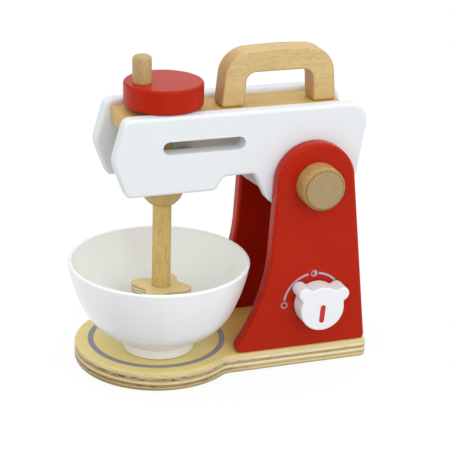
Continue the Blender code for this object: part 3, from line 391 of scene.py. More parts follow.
tiny = 0.001 * mm
past = 2  # how far a cutter reaches past a face
roundSteps = 6
ink = {"above": 0.1, "below": 0.2}  # print stands off its face and reaches into it


def choose(piece):
    bpy.ops.object.select_all(action="DESELECT")
    piece.select_set(True)
    bpy.context.view_layer.objects.active = piece


def named(name):  # names the piece that was just added
    piece = bpy.context.object
    piece.name = piece.data.name = name
    return piece


def copied(piece, name):
    copy = piece.copy()
    copy.data = piece.data.copy()
    copy.name = copy.data.name = name
    bpy.context.scene.collection.objects.link(copy)
    choose(copy)
    return copy


def shapeBy(piece, kind, **settings):  # applies a modifier with these settings
    choose(piece)
    bpy.ops.object.modifier_add(type=kind)
    modifier = piece.modifiers[-1]
    for key, setting in settings.items():
        setattr(modifier, key, setting)
    bpy.ops.object.modifier_apply(modifier=modifier.name)


def startLine(name, points):
    bpy.ops.object.select_all(action="DESELECT")
    bpy.ops.mesh.primitive_plane_add(size=mm)
    piece = named(name)
    bpy.ops.object.mode_set(mode="EDIT")
    bpy.ops.mesh.merge(type="CENTER")
    bpy.ops.transform.translate(value=Vector(points[0]) * mm)
    for before, after in zip(points, points[1:]):
        step = (Vector(after) - Vector(before)) * mm
        bpy.ops.mesh.extrude_region_move(TRANSFORM_OT_translate={"value": step})
    bpy.ops.mesh.select_all(action="SELECT")
    return piece


def closeSkin():
    bpy.ops.mesh.select_all(action="SELECT")
    bpy.ops.mesh.remove_doubles(threshold=tiny)
    bpy.ops.mesh.normals_make_consistent(inside=False)
    bpy.ops.object.mode_set(mode="OBJECT")


def board(name, outline, thick, start, flat=False, soft=0, segments=roundSteps):
    # start is its first face's Y or, flat, its Z, and soft rounds the edges in both faces
    if flat:
        points, rise = [(x, y, start) for x, y in outline], (0, 0, thick * mm)
    else:
        points, rise = [(x, start, z) for x, z in outline], (0, thick * mm, 0)
    piece = startLine(name, points)
    bpy.ops.mesh.edge_face_add()
    bpy.ops.mesh.extrude_region_move(TRANSFORM_OT_translate={"value": rise})
    closeSkin()
    if soft:
        roundEdges(piece, inFaces("Z" if flat else "Y", start, start + thick), soft, segments)
    return piece


def turned(name, profile, centre, axis="Z", steps=96, ring=False):  # profile of (radius, height)
    if axis == "Z":
        points = [(centre[0] + radius, centre[1], centre[2] + height) for radius, height in profile]
        about = (0, 0, 1)
    else:
        points = [(centre[0] + radius, centre[1] - height, centre[2]) for radius, height in profile]
        about = (0, 1, 0)
    piece = startLine(name, points + points[:1] if ring else points)
    bpy.ops.mesh.remove_doubles(threshold=tiny)
    bpy.ops.mesh.spin(steps=steps, angle=tau, center=Vector(centre) * mm, axis=about, use_auto_merge=True)
    closeSkin()
    return piece


def hoop(name, inner, outer, start, end, centre, axis="Z", steps=64):  # turned from a rectangle
    profile = [(inner, start), (outer, start), (outer, end), (inner, end)]
    return turned(name, profile, centre, axis, steps, ring=True)


def printed(name, outline, face):  # flat print on a face that looks forward
    return board(name, outline, ink["above"] + ink["below"], face - ink["above"])


def roundEdges(piece, wanted, width, segments=roundSteps):  # bevels the edges that a test on their ends picks
    choose(piece)
    bpy.ops.object.mode_set(mode="EDIT")
    bpy.ops.mesh.select_mode(type="EDGE")
    bpy.ops.mesh.select_all(action="DESELECT")
    shape = bmesh.from_edit_mesh(piece.data)
    for edge in shape.edges:
        edge.select = wanted(*(vertex.co / mm for vertex in edge.verts))
    shape.select_flush_mode()
    bmesh.update_edit_mesh(piece.data)
    bpy.ops.mesh.bevel(offset=width * mm, segments=segments, profile=0.5, affect="EDGES")
    bpy.ops.mesh.select_mode(type="VERT")
    bpy.ops.object.mode_set(mode="OBJECT")


def roundByShare(piece, shareOf, width):  # bevels every edge by its own share of the width
    shares = piece.data.attributes.new("bevel_weight_edge", "FLOAT", "EDGE")
    for edge in piece.data.edges:
        shares.data[edge.index].value = shareOf(*(piece.data.vertices[end].co / mm for end in edge.vertices))
    shapeBy(piece, "BEVEL", limit_method="WEIGHT", width=width * mm, segments=roundSteps)


def inFaces(axis, *levels):  # a test for edges that lie in the faces of a board
    part = "XYZ".index(axis)
    return lambda a, b: any(abs(a[part] - level) < 0.01 and abs(b[part] - level) < 0.01 for level in levels)


def cutOut(piece, *cutters):
    for cutter in cutters:
        shapeBy(piece, "BOOLEAN", operation="DIFFERENCE", solver="EXACT", object=cutter)
        bpy.data.objects.remove(cutter, do_unlink=True)


def drill(piece, face, radius, depth, axis="Z", steps=64):  # a round hole from a face, up on Z or along -Y
    profile = [(0, -past), (radius, -past), (radius, depth), (0, depth)]
    cutOut(piece, turned("drill", profile, face, axis, steps))


def mirrored(piece):  # the far side's copy
    copy = copied(piece, piece.name.replace("front", "rear"))
    bpy.ops.object.mode_set(mode="EDIT")
    bpy.ops.mesh.select_all(action="SELECT")
    bpy.ops.transform.resize(value=(1, -1, 1), center_override=(0, 0, 0))
    closeSkin()
    return copy


def dress(piece, finish):
    piece.data.materials.clear()
    piece.data.materials.append(finish.material)


def finishPiece(piece, body, finish, slot, *nodes, sharp=38):
    choose(piece)
    dress(piece, finish)
    bpy.ops.object.shade_smooth_by_angle(angle=radians(sharp))
    shapeBy(piece, "WEIGHTED_NORMAL", keep_sharp=True)
    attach(piece, body)
    if nodes:
        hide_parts(*nodes)


def finishPair(near, far, body, finish, slot, stem):
    for piece, end in ((near, "_front"), (far, "_rear")):
        finishPiece(piece, body, finish, slot, stem + end)


# Outlines in millimetres

def arc(centre, radius, start, end, sag=0.02):
    step = 2 * acos(1 - sag / max(radius, 2 * sag))
    count = max(3, ceil(abs(end - start) / step))
    angles = [start + (end - start) * i / count for i in range(count + 1)]
    return [(centre[0] + radius * cos(a), centre[1] + radius * sin(a)) for a in angles]


def arcBetween(centre, radius, first, last, turn):
    start = atan2(first[1] - centre[1], first[0] - centre[0])
    end = atan2(last[1] - centre[1], last[0] - centre[0])
    if turn > 0 and end < start:
        end += tau
    if turn < 0 and end > start:
        end -= tau
    return arc(centre, radius, start, end)


def roundedOutline(corners):  # corners are (across, up, radius)
    points = []
    for index, (across, up, radius) in enumerate(corners):
        corner = Vector((across, up))
        before = (Vector(corners[index - 1][:2]) - corner).normalized()
        after = (Vector(corners[(index + 1) % len(corners)][:2]) - corner).normalized()
        half = before.angle(after) / 2
        centre = corner + (before + after).normalized() * (radius / sin(half))
        start = corner + before * (radius / tan(half))
        end = corner + after * (radius / tan(half))
        turn = 1 if (start - centre).x * (end - centre).y > (start - centre).y * (end - centre).x else -1
        points += arcBetween(centre, radius, start, end, turn)
    return points


def thinned(outline):  # drops points that fall on the one before
    return [point for index, point in enumerate(outline)
            if (Vector(point) - Vector(outline[index - 1])).length > 0.01]


# Base board with its printed ring
base = {"thick": 14.5, "discRadius": 62.2, "halfWidth": 47.3, "endX": 155.1, "neckRadius": 12.0,
        "cornerRadius": 5.0, "edgeRound": 2.4, "ringInner": 47.97, "ringOuter": 52.26}


def baseOutline():
    reach = base["discRadius"] + base["neckRadius"]
    neckY = base["halfWidth"] + base["neckRadius"]
    neckX = sqrt(reach ** 2 - neckY ** 2)
    share = base["discRadius"] / reach
    upper, lower = (neckX * share, neckY * share), (neckX * share, -neckY * share)
    opening = atan2(neckY, neckX)
    points = arc((0, 0), base["discRadius"], opening, tau - opening)
    points += arcBetween((neckX, -neckY), base["neckRadius"], lower, (neckX, -base["halfWidth"]), -1)
    cornerX, cornerY = base["endX"] - base["cornerRadius"], base["halfWidth"] - base["cornerRadius"]
    points += arc((cornerX, -cornerY), base["cornerRadius"], -pi / 2, 0)
    points += arc((cornerX, cornerY), base["cornerRadius"], 0, pi / 2)
    points += arcBetween((neckX, neckY), base["neckRadius"], (neckX, base["halfWidth"]), upper, -1)
    return thinned(points)


baseBoard = board("base_panel", baseOutline(), base["thick"], 0, flat=True, soft=base["edgeRound"])
baseRing = hoop("base_ring", base["ringInner"], base["ringOuter"], ink["above"], -ink["below"],
                (0, 0, base["thick"]), steps=160)
finishPiece(baseRing, "stand", ringInk, "birch_plywood")
print("base made")


# Stand plates
stand = {"archRadius": 30.5, "frontLean": 2.85, "toeX": 50.0, "toeRadius": 4.0, "toeLean": 32.5,
         "sweepRadius": 144.0, "sweepHeight": 40.9, "heelX": 153.9, "footZ": 14.6, "footRound": 2.8,
         "footShare": 0.25, "footFade": 1.3, "thick": 12.0, "inner": 32.7, "edgeRound": 2.6,
         "pivot": (107.8, 145.2), "axleRadius": 9.3, "stop": (121.8, 120.95), "stopRadius": 6.3,
         "stopDepth": 8.3, "dial": (110.7, 50.8), "dialHole": 4.5}



def standOutline():
    radius, footZ = stand["archRadius"], stand["footZ"]
    topZ, sweepZ = pivotZ + radius, footZ + 0.2 + stand["sweepHeight"]
    toPivot = Vector((pivotX - stand["heelX"], pivotZ - footZ))
    lean = atan2(-toPivot.x, toPivot.y) - asin(radius / toPivot.length)
    rearX = stand["heelX"] - tan(lean) * (topZ - footZ)
    frontLean = radians(stand["frontLean"])  # the front edge leans out a little on its way down
    levelX = pivotX - radius / cos(frontLean)
    sweepX = levelX - tan(frontLean) * (pivotZ - sweepZ)
    toeZ = sweepZ - (sweepX - stand["toeX"]) / tan(radians(stand["toeLean"]))
    return thinned(roundedOutline([
        (stand["toeX"], footZ, stand["footRound"]), (stand["heelX"], footZ, stand["footRound"]),
        (rearX, topZ, radius), (levelX + tan(frontLean) * radius, topZ, radius),
        (sweepX, sweepZ, stand["sweepRadius"]), (stand["toeX"], toeZ, stand["toeRadius"])]))


(pivotX, pivotZ), (stopX, stopZ), (dialX, dialZ) = (stand[key] for key in ("pivot", "stop", "dial"))
outer = stand["inner"] + stand["thick"]
plate = board("stand_panel_front", standOutline(), stand["thick"], -outer)
inPlate = inFaces("Y", -outer, -stand["inner"])


def standRound(a, b):  # the edges' rounding fades out round the plate's feet
    rise, share = max(0.0, a.z + b.z - 2 * stand["footZ"]) / 2 / stand["footRound"], stand["footShare"]
    return inPlate(a, b) * min(1.0, share + (1 - share) * stand["footFade"] * sqrt(rise))


roundByShare(plate, standRound, stand["edgeRound"])
drill(plate, (pivotX, -stand["inner"], pivotZ), stand["axleRadius"], stand["thick"] + past, "Y")
drill(plate, (stopX, -stand["inner"], stopZ), stand["stopRadius"], stand["stopDepth"], "Y")
farPlate = mirrored(plate)
drill(plate, (dialX, -stand["inner"], dialZ), stand["dialHole"], stand["thick"] + past, "Y")
finishPair(plate, farPlate, "stand", standPaint, "red_paint", "stand_plate")
print("stand plates made")


# Pivot axle, its caps, and the stop dowel
pivot = {"axleRadius": 9.0, "axleHalf": 52.7, "capRadius": 16.5, "capLength": 15.8, "capRound": 3.6,
         "capChamfer": 0.4, "capGap": 0.1, "socket": 9.3, "socketDepth": 8.0, "stopRadius": 6.0,
         "stopHalf": 40.4}


def dowelProfile(radius, length, chamfer=0.5):
    return [(0, 0), (radius - chamfer, 0), (radius, chamfer), (radius, length - chamfer),
            (radius - chamfer, length), (0, length)]


def roundedTop(radius, height, soft):  # from the middle of a round face over its edge
    return [(0, height)] + arc((radius - soft, height - soft), soft, pi / 2, 0)


axle = turned("axle_bar", dowelProfile(pivot["axleRadius"], 2 * pivot["axleHalf"]),
              (pivotX, pivot["axleHalf"], pivotZ), "Y", 64)
finishPiece(axle, "stand", hiddenWood, "beech", "pivot_axle")
capProfile = roundedTop(pivot["capRadius"], pivot["capLength"], pivot["capRound"])
capProfile += [(pivot["capRadius"], pivot["capChamfer"]), (pivot["capRadius"] - pivot["capChamfer"], 0),
               (pivot["socket"], 0), (pivot["socket"], pivot["socketDepth"]), (0, pivot["socketDepth"])]
cap = turned("pivot_button_front", capProfile, (pivotX, -outer - pivot["capGap"], pivotZ), "Y", 128)
finishPair(cap, mirrored(cap), "stand", capWood, "beech", "pivot_cap")
stopBar = turned("stop_bar", dowelProfile(pivot["stopRadius"], 2 * pivot["stopHalf"]),
                 (stopX, pivot["stopHalf"], stopZ), "Y", 48)
finishPiece(stopBar, "stand", hiddenWood, "beech", "stop_dowel")
print("pivot made")


# Head plates with their slots
# its low corners are (X, height over the bottom, rounding)
head = {"inner": 20.2, "thick": 12.0, "edgeRound": 2.6, "topZ": 200.0, "bottomZ": 141.7,
        "lowCorners": ((-32.7, 0, 5.0), (34.0, 0, 5.0), (40.1, 10.2, 5.0), (64.1, 10.2, 4.5)),
        "bend": (74.2, 130.8, 11.3), "lobeRadius": 31.6, "rearX": 144.8, "rearLean": 0.15, "rearLow": 6.0,
        "rearTop": 14.0, "topFront": -33.9, "topRound": 7.0, "nose": (-42.7, 168.3, 16.0), "slotFront": -6.3,
        "slotRear": 55.8, "slotHeight": 9.7, "slotZ": 177.1, "notchFloor": 21.4, "notchReach": 60,
        "notchFrom": -73.0, "notchTo": -2.0, "bore": 9.5}



def headOutline():
    lobeZ = pivotZ - head["lobeRadius"]
    bend = Vector(head["bend"][:2])
    toPivot = Vector((pivotX, pivotZ)) - bend
    slope = atan2(toPivot.y, toPivot.x) - asin(head["lobeRadius"] / toPivot.length)
    lobeX = bend.x + (lobeZ - bend.y) / tan(slope)
    rearLow = head["rearX"] + head["rearLean"] * (lobeZ - pivotZ)
    rearTop = head["rearX"] + head["rearLean"] * (head["topZ"] - pivotZ)
    low = [(x, head["bottomZ"] + rise, radius) for x, rise, radius in head["lowCorners"]]
    return thinned(roundedOutline([*low, head["bend"], (lobeX, lobeZ, head["lobeRadius"]),
                                   (rearLow, lobeZ, head["rearLow"]),
                                   (rearTop, head["topZ"], head["rearTop"]),
                                   (head["topFront"], head["topZ"], head["topRound"]), head["nose"]]))


headOuter = head["inner"] + head["thick"]
side = board("head_panel_front", headOutline(), head["thick"], -headOuter, soft=head["edgeRound"])
slotRadius = head["slotHeight"] / 2
slotLine = arc((head["slotFront"] + slotRadius, head["slotZ"]), slotRadius, pi / 2, pi * 3 / 2)
slotLine += arc((head["slotRear"] - slotRadius, head["slotZ"]), slotRadius, -pi / 2, pi / 2)
notchFrom, notchTo = radians(head["notchFrom"]), radians(head["notchTo"])
notchLine = arc((pivotX, pivotZ), head["notchReach"], notchFrom, notchTo)
notchLine += arc((pivotX, pivotZ), head["notchFloor"], notchTo, notchFrom)
cutOut(side, *(board(name, line, head["thick"] + 2 * past, -headOuter - past)
               for name, line in (("slot_tool", slotLine), ("notch_tool", notchLine))))
drill(side, (pivotX, -head["inner"], pivotZ), head["bore"], head["thick"] + past, "Y")
finishPair(side, mirrored(side), "head", whitePaint, "white_paint", "head_plate")
print("head plates made")


# Top board and lower block between the head plates
inside = {"half": 20.0, "boardFront": -30.9, "boardRear": 137.4, "boardLow": 184.4, "boardTop": 196.5,
          "blockFront": -18.0, "blockRear": 31.8, "blockLow": 141.7, "blockTop": 159.1, "edgeRound": 1.2,
          "shaft": (3.3, 0.0), "bore": 7.5}


def plank(name, low, high, soft):  # a cube at its size and place, its edges rounded
    bpy.ops.object.select_all(action="DESELECT")
    bpy.ops.mesh.primitive_cube_add(size=1, location=[(a + b) / 2 * mm for a, b in zip(low, high)],
                                    scale=[(b - a) * mm for a, b in zip(low, high)])
    piece = named(name)
    bpy.ops.object.transform_apply(location=True, rotation=True, scale=True)
    roundEdges(piece, lambda a, b: True, soft, 5)
    return piece


parts = (("board", "top_plank", "head_top_board"), ("block", "low_block", "head_lower_block"))
for stem, name, node in parts:
    front, rear, low, top = (inside[stem + end] for end in ("Front", "Rear", "Low", "Top"))
    piece = plank(name, (front, -inside["half"], low), (rear, inside["half"], top), inside["edgeRound"])
    drill(piece, (*inside["shaft"], low), inside["bore"], top - low + past)
    finishPiece(piece, "head", boardWood, "beech", node)
for number in range(1, 11):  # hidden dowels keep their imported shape
    dress(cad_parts[f"head_dowel_{number}"], hiddenWood)
print("top board and block made")


# Carrying handle
handle = {"x": 89.5, "foot": 196.6, "thick": 18.0, "footHalf": 45.1, "footRound": 2.4, "edgeRound": 2.0,
          "shoulderHalf": 41.2, "shoulderHeight": 40.7, "shoulderRadius": 21.0, "crownHeight": 42.5,
          "crownRadius": 250.0, "gripFootHalf": 26.8, "gripTopHalf": 25.4, "gripHeight": 24.9,
          "gripRadius": 7.5}



def handleOutline():
    right = [(handle["footHalf"], 0, handle["footRound"]),
             (handle["shoulderHalf"], handle["shoulderHeight"], handle["shoulderRadius"])]
    opening = [(handle["gripTopHalf"], handle["gripHeight"], handle["gripRadius"]),
               (handle["gripFootHalf"], 0, handle["footRound"])]
    corners = right + [(0, handle["crownHeight"], handle["crownRadius"])]
    corners += [(-across, up, radius) for across, up, radius in right[::-1] + opening[::-1]] + opening
    return thinned(roundedOutline([(handle["x"] + across, handle["foot"] + up, radius)
                                   for across, up, radius in corners]))


grip = board("handle_arch", handleOutline(), handle["thick"], -handle["thick"] / 2, soft=handle["edgeRound"])
finishPiece(grip, "head", handleWood, "beech", "carry_handle")
print("handle made")


# Crank: disc, peg and washer
crank = {"x": 3.3, "discRadius": 29.3, "discThick": 17.8, "edgeRound": 2.0, "discLow": 200.3, "pegX": -13.0,
         "pegRadius": 7.0, "pegHeight": 19.8, "pegRound": 3.2, "pegFoot": 8.7, "pegBore": 7.15,
         "pegSocket": 9.0, "socket": 7.3, "shaftSocket": 11.0, "washerRadius": 11.0, "washerLow": 196.8,
         "washerHigh": 200.0}
discTop = crank["discLow"] + crank["discThick"]
soft, radius, thick = crank["edgeRound"], crank["discRadius"], crank["discThick"]
discProfile = roundedTop(radius, thick, soft) + arc((radius - soft, soft), soft, 0, -pi / 2) + [(0, 0)]
disc = turned("crank_wheel", discProfile, (crank["x"], 0, crank["discLow"]), steps=160)
drill(disc, (crank["x"], 0, crank["discLow"]), crank["socket"], crank["shaftSocket"])
drill(disc, (crank["pegX"], 0, discTop - crank["pegSocket"] + past), crank["pegBore"], crank["pegSocket"])
finishPiece(disc, "crank", redPaint, "red_paint", "crank_disc")
pegProfile = roundedTop(crank["pegRadius"], crank["pegHeight"], crank["pegRound"])
pegProfile += [(crank["pegRadius"], -crank["pegFoot"]), (0, -crank["pegFoot"])]
peg = turned("crank_grip", pegProfile, (crank["pegX"], 0, discTop), steps=80)
finishPiece(peg, "crank", pegWood, "beech", "crank_peg")
washer = hoop("crank_spacer", crank["socket"], crank["washerRadius"], crank["washerLow"], crank["washerHigh"],
              (crank["x"], 0, 0))
finishPiece(washer, "crank", shaftWood, "beech", "crank_washer")
print("crank made")


# Whisk: shaft, half ball and paddle
whisk = {"shaftRadius": 7.0, "shaftTop": 211.0, "ballRadius": 16.0, "ballTop": 141.2, "ballStraight": 3.7,
         "ballRound": 0.8, "bore": 7.1, "paddleTop": 58.1, "paddleThick": 7.2, "paddleMean": 19.0,
         "lobeDepth": 4.4, "lobes": 4, "steps": 160, "turn": 57.5, "edgeRound": 0.7}
paddleLow = whisk["paddleTop"] - whisk["paddleThick"]
shaft = turned("whisk_bar", dowelProfile(whisk["shaftRadius"], whisk["shaftTop"] - paddleLow),
               (crank["x"], 0, paddleLow), steps=80)
finishPiece(shaft, "crank", shaftWood, "beech", "whisk_shaft")
bore, ballRadius, soft = whisk["bore"], whisk["ballRadius"], whisk["ballRound"]
ballLine = [(bore, 0)] + arc((ballRadius - soft, -soft), soft, pi / 2, 0)
ballLine += arc((0, -whisk["ballStraight"]), ballRadius, 0, -acos(bore / ballRadius))
ball = turned("whisk_ball", ballLine, (crank["x"], 0, whisk["ballTop"]), steps=112, ring=True)
finishPiece(ball, "crank", ballWood, "beech", "whisk_collar")


def paddleOutline():
    points = []
    for step in range(whisk["steps"]):
        angle = tau * step / whisk["steps"]
        wave = cos(whisk["lobes"] * (angle - radians(whisk["turn"])))
        reach = whisk["paddleMean"] + whisk["lobeDepth"] * wave
        points.append((crank["x"] + reach * cos(angle), reach * sin(angle)))
    return points


paddle = board("whisk_cross", paddleOutline(), whisk["paddleThick"], paddleLow, True, whisk["edgeRound"], 3)
drill(paddle, (crank["x"], 0, paddleLow), bore, whisk["paddleThick"] + past)
finishPiece(paddle, "crank", paddlePly, "birch_plywood", "whisk_paddle")
print("whisk made")


# Bowl
bowl = {"centre": (-2.4, -12.7, 14.8), "rimRadius": 67.38, "height": 69.9, "wall": 3.0, "rimLean": 9.7,
        "sideRadius": 136.0, "bellyLean": 25.2, "bellyRadius": 40.4, "hullLean": 56.5, "floor": 5.0,
        "footTop": 28.0, "footRadius": 27.0, "footWall": 3.2, "footRound": 0.8}


def bowlProfile():
    rimLean, bellyLean, hullLean = (radians(bowl[key]) for key in ("rimLean", "bellyLean", "hullLean"))
    wall, floorUp = bowl["wall"], bowl["floor"]
    sideRadius, bellyRadius = bowl["sideRadius"], bowl["bellyRadius"]
    rim = Vector((bowl["rimRadius"], bowl["height"] - wall / 2))
    outRim, outBelly = (Vector((cos(lean), -sin(lean))) for lean in (rimLean, bellyLean))
    sideCentre = rim - sideRadius * outRim
    bellyCentre = sideCentre + (sideRadius - bellyRadius) * outBelly
    within, without = (arc(sideCentre, sideRadius - depth, -rimLean, -bellyLean)
                       + arc(bellyCentre, bellyRadius - depth, -bellyLean, -hullLean)[1:]
                       for depth in (wall, 0))
    drop = within[-1][1] - floorUp - wall  # the straight part runs down to the floor
    within.append((within[-1][0] - drop * tan(hullLean), floorUp + wall))
    drop = (without[-1][0] - bowl["footTop"]) / tan(hullLean)
    without.append((bowl["footTop"], without[-1][1] - drop))
    lip = arc(rim - outRim * (wall / 2), wall / 2, pi - rimLean, -rimLean, 0.008)[1:-1]
    footRadius, footRound = bowl["footRadius"], bowl["footRound"]
    ledge = footRadius - bowl["footWall"]
    foot = arc((footRadius - footRound, footRound), footRound, 0, -pi / 2)
    foot += [(ledge, 0), (ledge, floorUp), (0, floorUp)]
    return [(0, floorUp + wall)] + within[::-1] + lip + without + foot


dish = turned("mixing_bowl", bowlProfile(), bowl["centre"], steps=192)
finishPiece(dish, "bowl", bowlPlastic, "white_plastic", "bowl", sharp=30)
print("bowl made")


# Dial: knob, its red mark, axle and retainer
dial = {"thick": 15.8, "back": 45.2, "turn": 4.5, "headRadius": 17.2, "earRadius": 5.2, "earOut": 14.9,
        "earUp": 11.7, "blend": 2.6, "edgeRound": 1.3, "socket": 4.3, "socketDepth": 9.0, "markTop": 1.5,
        "markLow": -8.8, "markRadius": 2.0, "axleRadius": 4.0, "axleFront": -53.9, "axleRear": -27.2,
        "retainerRadius": 8.5, "retainerThick": 5.0}


def touching(first, firstRadius, second, secondRadius, blend, side):  # the middle of a circle on two others
    farFirst, farSecond, gap = firstRadius + blend, secondRadius + blend, (second - first).length
    along = (farFirst ** 2 - farSecond ** 2 + gap ** 2) / (2 * gap)
    ahead = (second - first).normalized()
    aside = Vector((-ahead.y, ahead.x)) * side
    return first + ahead * along + aside * sqrt(farFirst ** 2 - along ** 2)


def onDial(across, up):  # from the dial's own upright axes to X and Z
    turn = radians(dial["turn"])
    return (dialX + across * cos(turn) + up * sin(turn),
            dialZ + up * cos(turn) - across * sin(turn))


def dialOutline():
    middle, ear = Vector((0, 0)), Vector((dial["earOut"], dial["earUp"]))
    headRadius, earRadius, blend = dial["headRadius"], dial["earRadius"], dial["blend"]
    low, high = (touching(middle, headRadius, ear, earRadius, blend, side) for side in (-1, 1))
    onEar = earRadius / (earRadius + blend)
    lowHead, highHead = low.normalized() * headRadius, high.normalized() * headRadius
    lowEar, highEar = ear.lerp(low, onEar), ear.lerp(high, onEar)
    right = arcBetween(middle, headRadius, (0, -headRadius), lowHead, 1)
    right += arcBetween(low, blend, lowHead, lowEar, -1)
    right += arcBetween(ear, earRadius, lowEar, highEar, 1)
    right += arcBetween(high, blend, highEar, highHead, -1)
    right += arcBetween(middle, headRadius, highHead, (0, headRadius), 1)
    return thinned([onDial(*point) for point in right + [(-x, z) for x, z in right[::-1]]])


dialFront = -dial["back"] - dial["thick"]
knob = board("dial_button", dialOutline(), dial["thick"], dialFront, False, dial["edgeRound"], 5)
drill(knob, (dialX, -dial["back"], dialZ), dial["socket"], dial["socketDepth"], "Y")
finishPiece(knob, "dial", dialPaint, "white_paint", "dial_knob")
markLine = arc((0, dial["markTop"]), dial["markRadius"], 0, pi, 0.01)
markLine += arc((0, dial["markLow"]), dial["markRadius"], pi, tau, 0.01)
mark = printed("dial_mark", [onDial(*point) for point in markLine], dialFront)
finishPiece(mark, "dial", markInk, "red_paint")
dialBar = turned("dial_bar", dowelProfile(dial["axleRadius"], dial["axleRear"] - dial["axleFront"]),
                 (dialX, dial["axleRear"], dialZ), "Y", 48)
finishPiece(dialBar, "dial", hiddenWood, "beech", "dial_axle")
keeper = hoop("dial_keeper", dial["socket"], dial["retainerRadius"], 0, dial["retainerThick"],
              (dialX, dial["axleRear"], dialZ), "Y")
finishPiece(keeper, "dial", hiddenWood, "beech", "dial_retainer")
print("dial made")


# Scale printed round the dial: two round symbols and the arc between them
scale = {"centre": (109.07, 50.32), "radius": 23.4, "stroke": 1.6, "symbol": 2.2, "line": 0.42,
         "arcs": {"scale_arc_left": (101.0, 171.5), "scale_arc_right": (43.0, 80.5)},
         "symbols": {"scale_open": (86.0, 50.0), "scale_half": (109.2, 73.6)}}


def strokeOutline(centre, inner, outer, start, end):
    return thinned(arc(centre, outer, radians(start), radians(end), 0.01)
                   + arc(centre, inner, radians(end), radians(start), 0.01))


half = scale["stroke"] / 2
for name, (start, end) in scale["arcs"].items():
    outline = strokeOutline(scale["centre"], scale["radius"] - half, scale["radius"] + half, start, end)
    finishPiece(printed(name, outline, -outer), "stand", arcInk, "white_paint")
symbolHole, symbolRim = scale["symbol"] - scale["line"], scale["symbol"] + scale["line"]
for name, (x, z) in scale["symbols"].items():
    symbol = hoop(name, symbolHole, symbolRim, -ink["below"], ink["above"], (x, -outer, z), "Y", 48)
    finishPiece(symbol, "stand", scaleInk, "white_paint")
halfLine = arc(scale["symbols"]["scale_half"], symbolHole, -pi / 2, pi / 2, 0.01)
finishPiece(printed("scale_half_fill", halfLine, -outer), "stand", fillInk, "white_paint")
print("dial scale made")


# Countersunk screws, modelled once with a cross recess and copied
screw = {"headRadius": 3.8, "headRim": 0.25, "headDepth": 2.6, "shank": 1.9, "point": 3.5, "recess": 1.7,
         "recessWidth": 0.8, "recessHalf": 2.0, "recessRound": 0.15, "turn": 0.7, "sinkRadius": 4.1,
         "sinkDepth": 0.9,
         "base": {"length": 30.9, "z": 0.6, "spots": [(x, y) for x in (68.6, 134.6) for y in (-38.7, 38.7)]},
         "handle": {"length": 25.5, "z": 185.0, "spots": [(53.55, 0.0), (125.45, 0.0)]}}


def makeScrews(stem, body, nodeStem):
    rule = screw[stem]
    length = rule["length"]
    profile = [(0, 0), (screw["headRadius"], 0), (screw["headRadius"], screw["headRim"]),
               (screw["shank"], screw["headDepth"]), (screw["shank"], length - screw["point"]), (0, length)]
    first = turned(stem + "_screw_model", profile, (0, 0, 0), steps=32)
    wide, half = screw["recessWidth"] / 2, screw["recessHalf"]
    for across, along in ((wide, half), (half, wide)):
        cutOut(first, plank("recess_tool", (-across, -along, -1), (across, along, screw["recess"]),
                            screw["recessRound"]))
    for number, (x, y) in enumerate(rule["spots"], start=1):
        copy = copied(first, f"{stem}_fixing_{number}")
        copy.location = (x * mm, y * mm, rule["z"] * mm)
        copy.rotation_euler = (0, 0, screw["turn"] * number)
        bpy.ops.object.transform_apply(location=True, rotation=True, scale=True)
        finishPiece(copy, body, zincSteel, "zinc_steel", f"{nodeStem}_{number}")
    bpy.data.objects.remove(first, do_unlink=True)


makeScrews("base", "stand", "base_screw")
makeScrews("handle", "head", "handle_screw")
for x, y in screw["base"]["spots"]:
    drill(baseBoard, (x, y, 0), screw["sinkRadius"], screw["sinkDepth"], steps=32)
finishPiece(baseBoard, "stand", basePly, "birch_plywood", "base_board")
print("screws made")


# Floor, world and lamps: a pale studio, bright behind the toy and dimmer on the camera's side
# (level, softness) pairs are where a step in an angle or a direction lies and how soft it is
studio = {
    "floorSize": 6.0, "floorZ": -0.0003, "floorGlow": 1.12, "floorShare": 0.80,
    "floorLooks": {"colour": (0.50, 0.50, 0.50), "roughness": 0.9, "specular": 0.0},
    "around": 1.08, "dim": 0.30, "bright": 0.88, "aim": (0.05, 0, 0.1),
    "behind": (0.30, 0.84, 0.45), "behindStep": (0.15, 0.7), "leftStep": (-0.25, 0.3), "lowStep": (0.3, 0.3),
    "lowLeft": 0.9,
    "lamps": {  # place, size and power
        "lamp_front": ((0.1, -1.9, 0.95), 0.9, 7.0),
        "lamp_right": ((0.75, -1.15, 1.3), 0.5, 2.0),
        "lamp_top": ((0.1, 0.1, 1.6), 1.2, 2.0),
    },
}
# The floor as glossy surfaces mirror it, by the angle round the origin from the camera's side
mirrorFloor = {"toCamera": (-0.337, -0.941), "powers": (0.10, 1.35), "level": 0.6, "shade": 0.6,
               "shadeFrom": (-0.85, 0.3), "shadeTo": (0.18, 0.15), "left": 0.4, "leftStep": (-1.0, 0.4),
               "far": 0.3, "farStep": (-2.1, 0.5)}

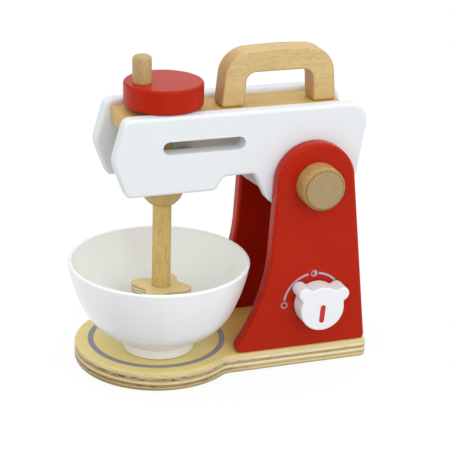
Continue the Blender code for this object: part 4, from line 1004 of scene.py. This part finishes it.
bpy.ops.object.select_all(action="DESELECT")
bpy.ops.mesh.primitive_plane_add(size=studio["floorSize"], location=(0, 0, studio["floorZ"]))
floor = bpy.context.object
floor.name = "floor"
floorFinish = Finish("floor_white", **studio["floorLooks"])
eastward, northward = mirrorFloor["toCamera"]
x, y = floorFinish.along("X"), floorFinish.along("Y")
ahead, aside = x * eastward + y * northward, y * eastward - x * northward
angle = floorFinish.maths("ARCTAN2", aside, ahead)
shaded = angle.above(*mirrorFloor["shadeFrom"]) * angle.below(*mirrorFloor["shadeTo"])
level = (mirrorFloor["level"] + angle.below(*mirrorFloor["leftStep"]) * mirrorFloor["left"]
         - shaded * mirrorFloor["shade"] - angle.below(*mirrorFloor["farStep"]) * mirrorFloor["far"])
low, high = (floorFinish.glow("Emission", power) for power in mirrorFloor["powers"])
lit = floorFinish.between(floorFinish.rays("glossy"), Value(floorFinish, floorFinish.shader.outputs[0]),
                          floorFinish.between(level, low, high))
floorFinish.show(floorFinish.between(floorFinish.rays("camera") * studio["floorShare"], lit,
                                     floorFinish.glow("Emission", studio["floorGlow"])))
dress(floor, floorFinish)


class Sky(Finish):  # the world's nodes, made with the same methods
    def __init__(self, name):
        self.world = bpy.data.worlds.new(name)
        self.world.use_nodes = True
        self.tree = self.world.node_tree


sky = Sky("studio")
bpy.context.scene.world = sky.world
direction = sky.node("TexCoord")
behind = sky.node("VectorMath", {"operation": "DOT_PRODUCT"}, {0: direction, 1: studio["behind"]})
white, around, dim, bright = (sky.glow("Background", power) for power in (
    1.0, studio["around"], studio["dim"], studio["bright"]))
lowLeft = direction.part("X").below(*studio["leftStep"]) * direction.part("Z").below(*studio["lowStep"])
sheen = sky.between(behind.above(*studio["behindStep"]) * (1 - lowLeft * studio["lowLeft"]), dim, bright)
sky.show(sky.between(sky.rays("camera"), sky.between(sky.rays("glossy"), around, sheen), white))

for name, (spot, size, power) in studio["lamps"].items():
    data = bpy.data.lights.new(name, "AREA")
    data.energy = power
    data.size = size
    lamp = bpy.data.objects.new(name, data)
    bpy.context.scene.collection.objects.link(lamp)
    lamp.location = spot
    lamp.rotation_euler = (Vector(studio["aim"]) - Vector(spot)).to_track_quat("-Z", "Y").to_euler()
print("studio made")
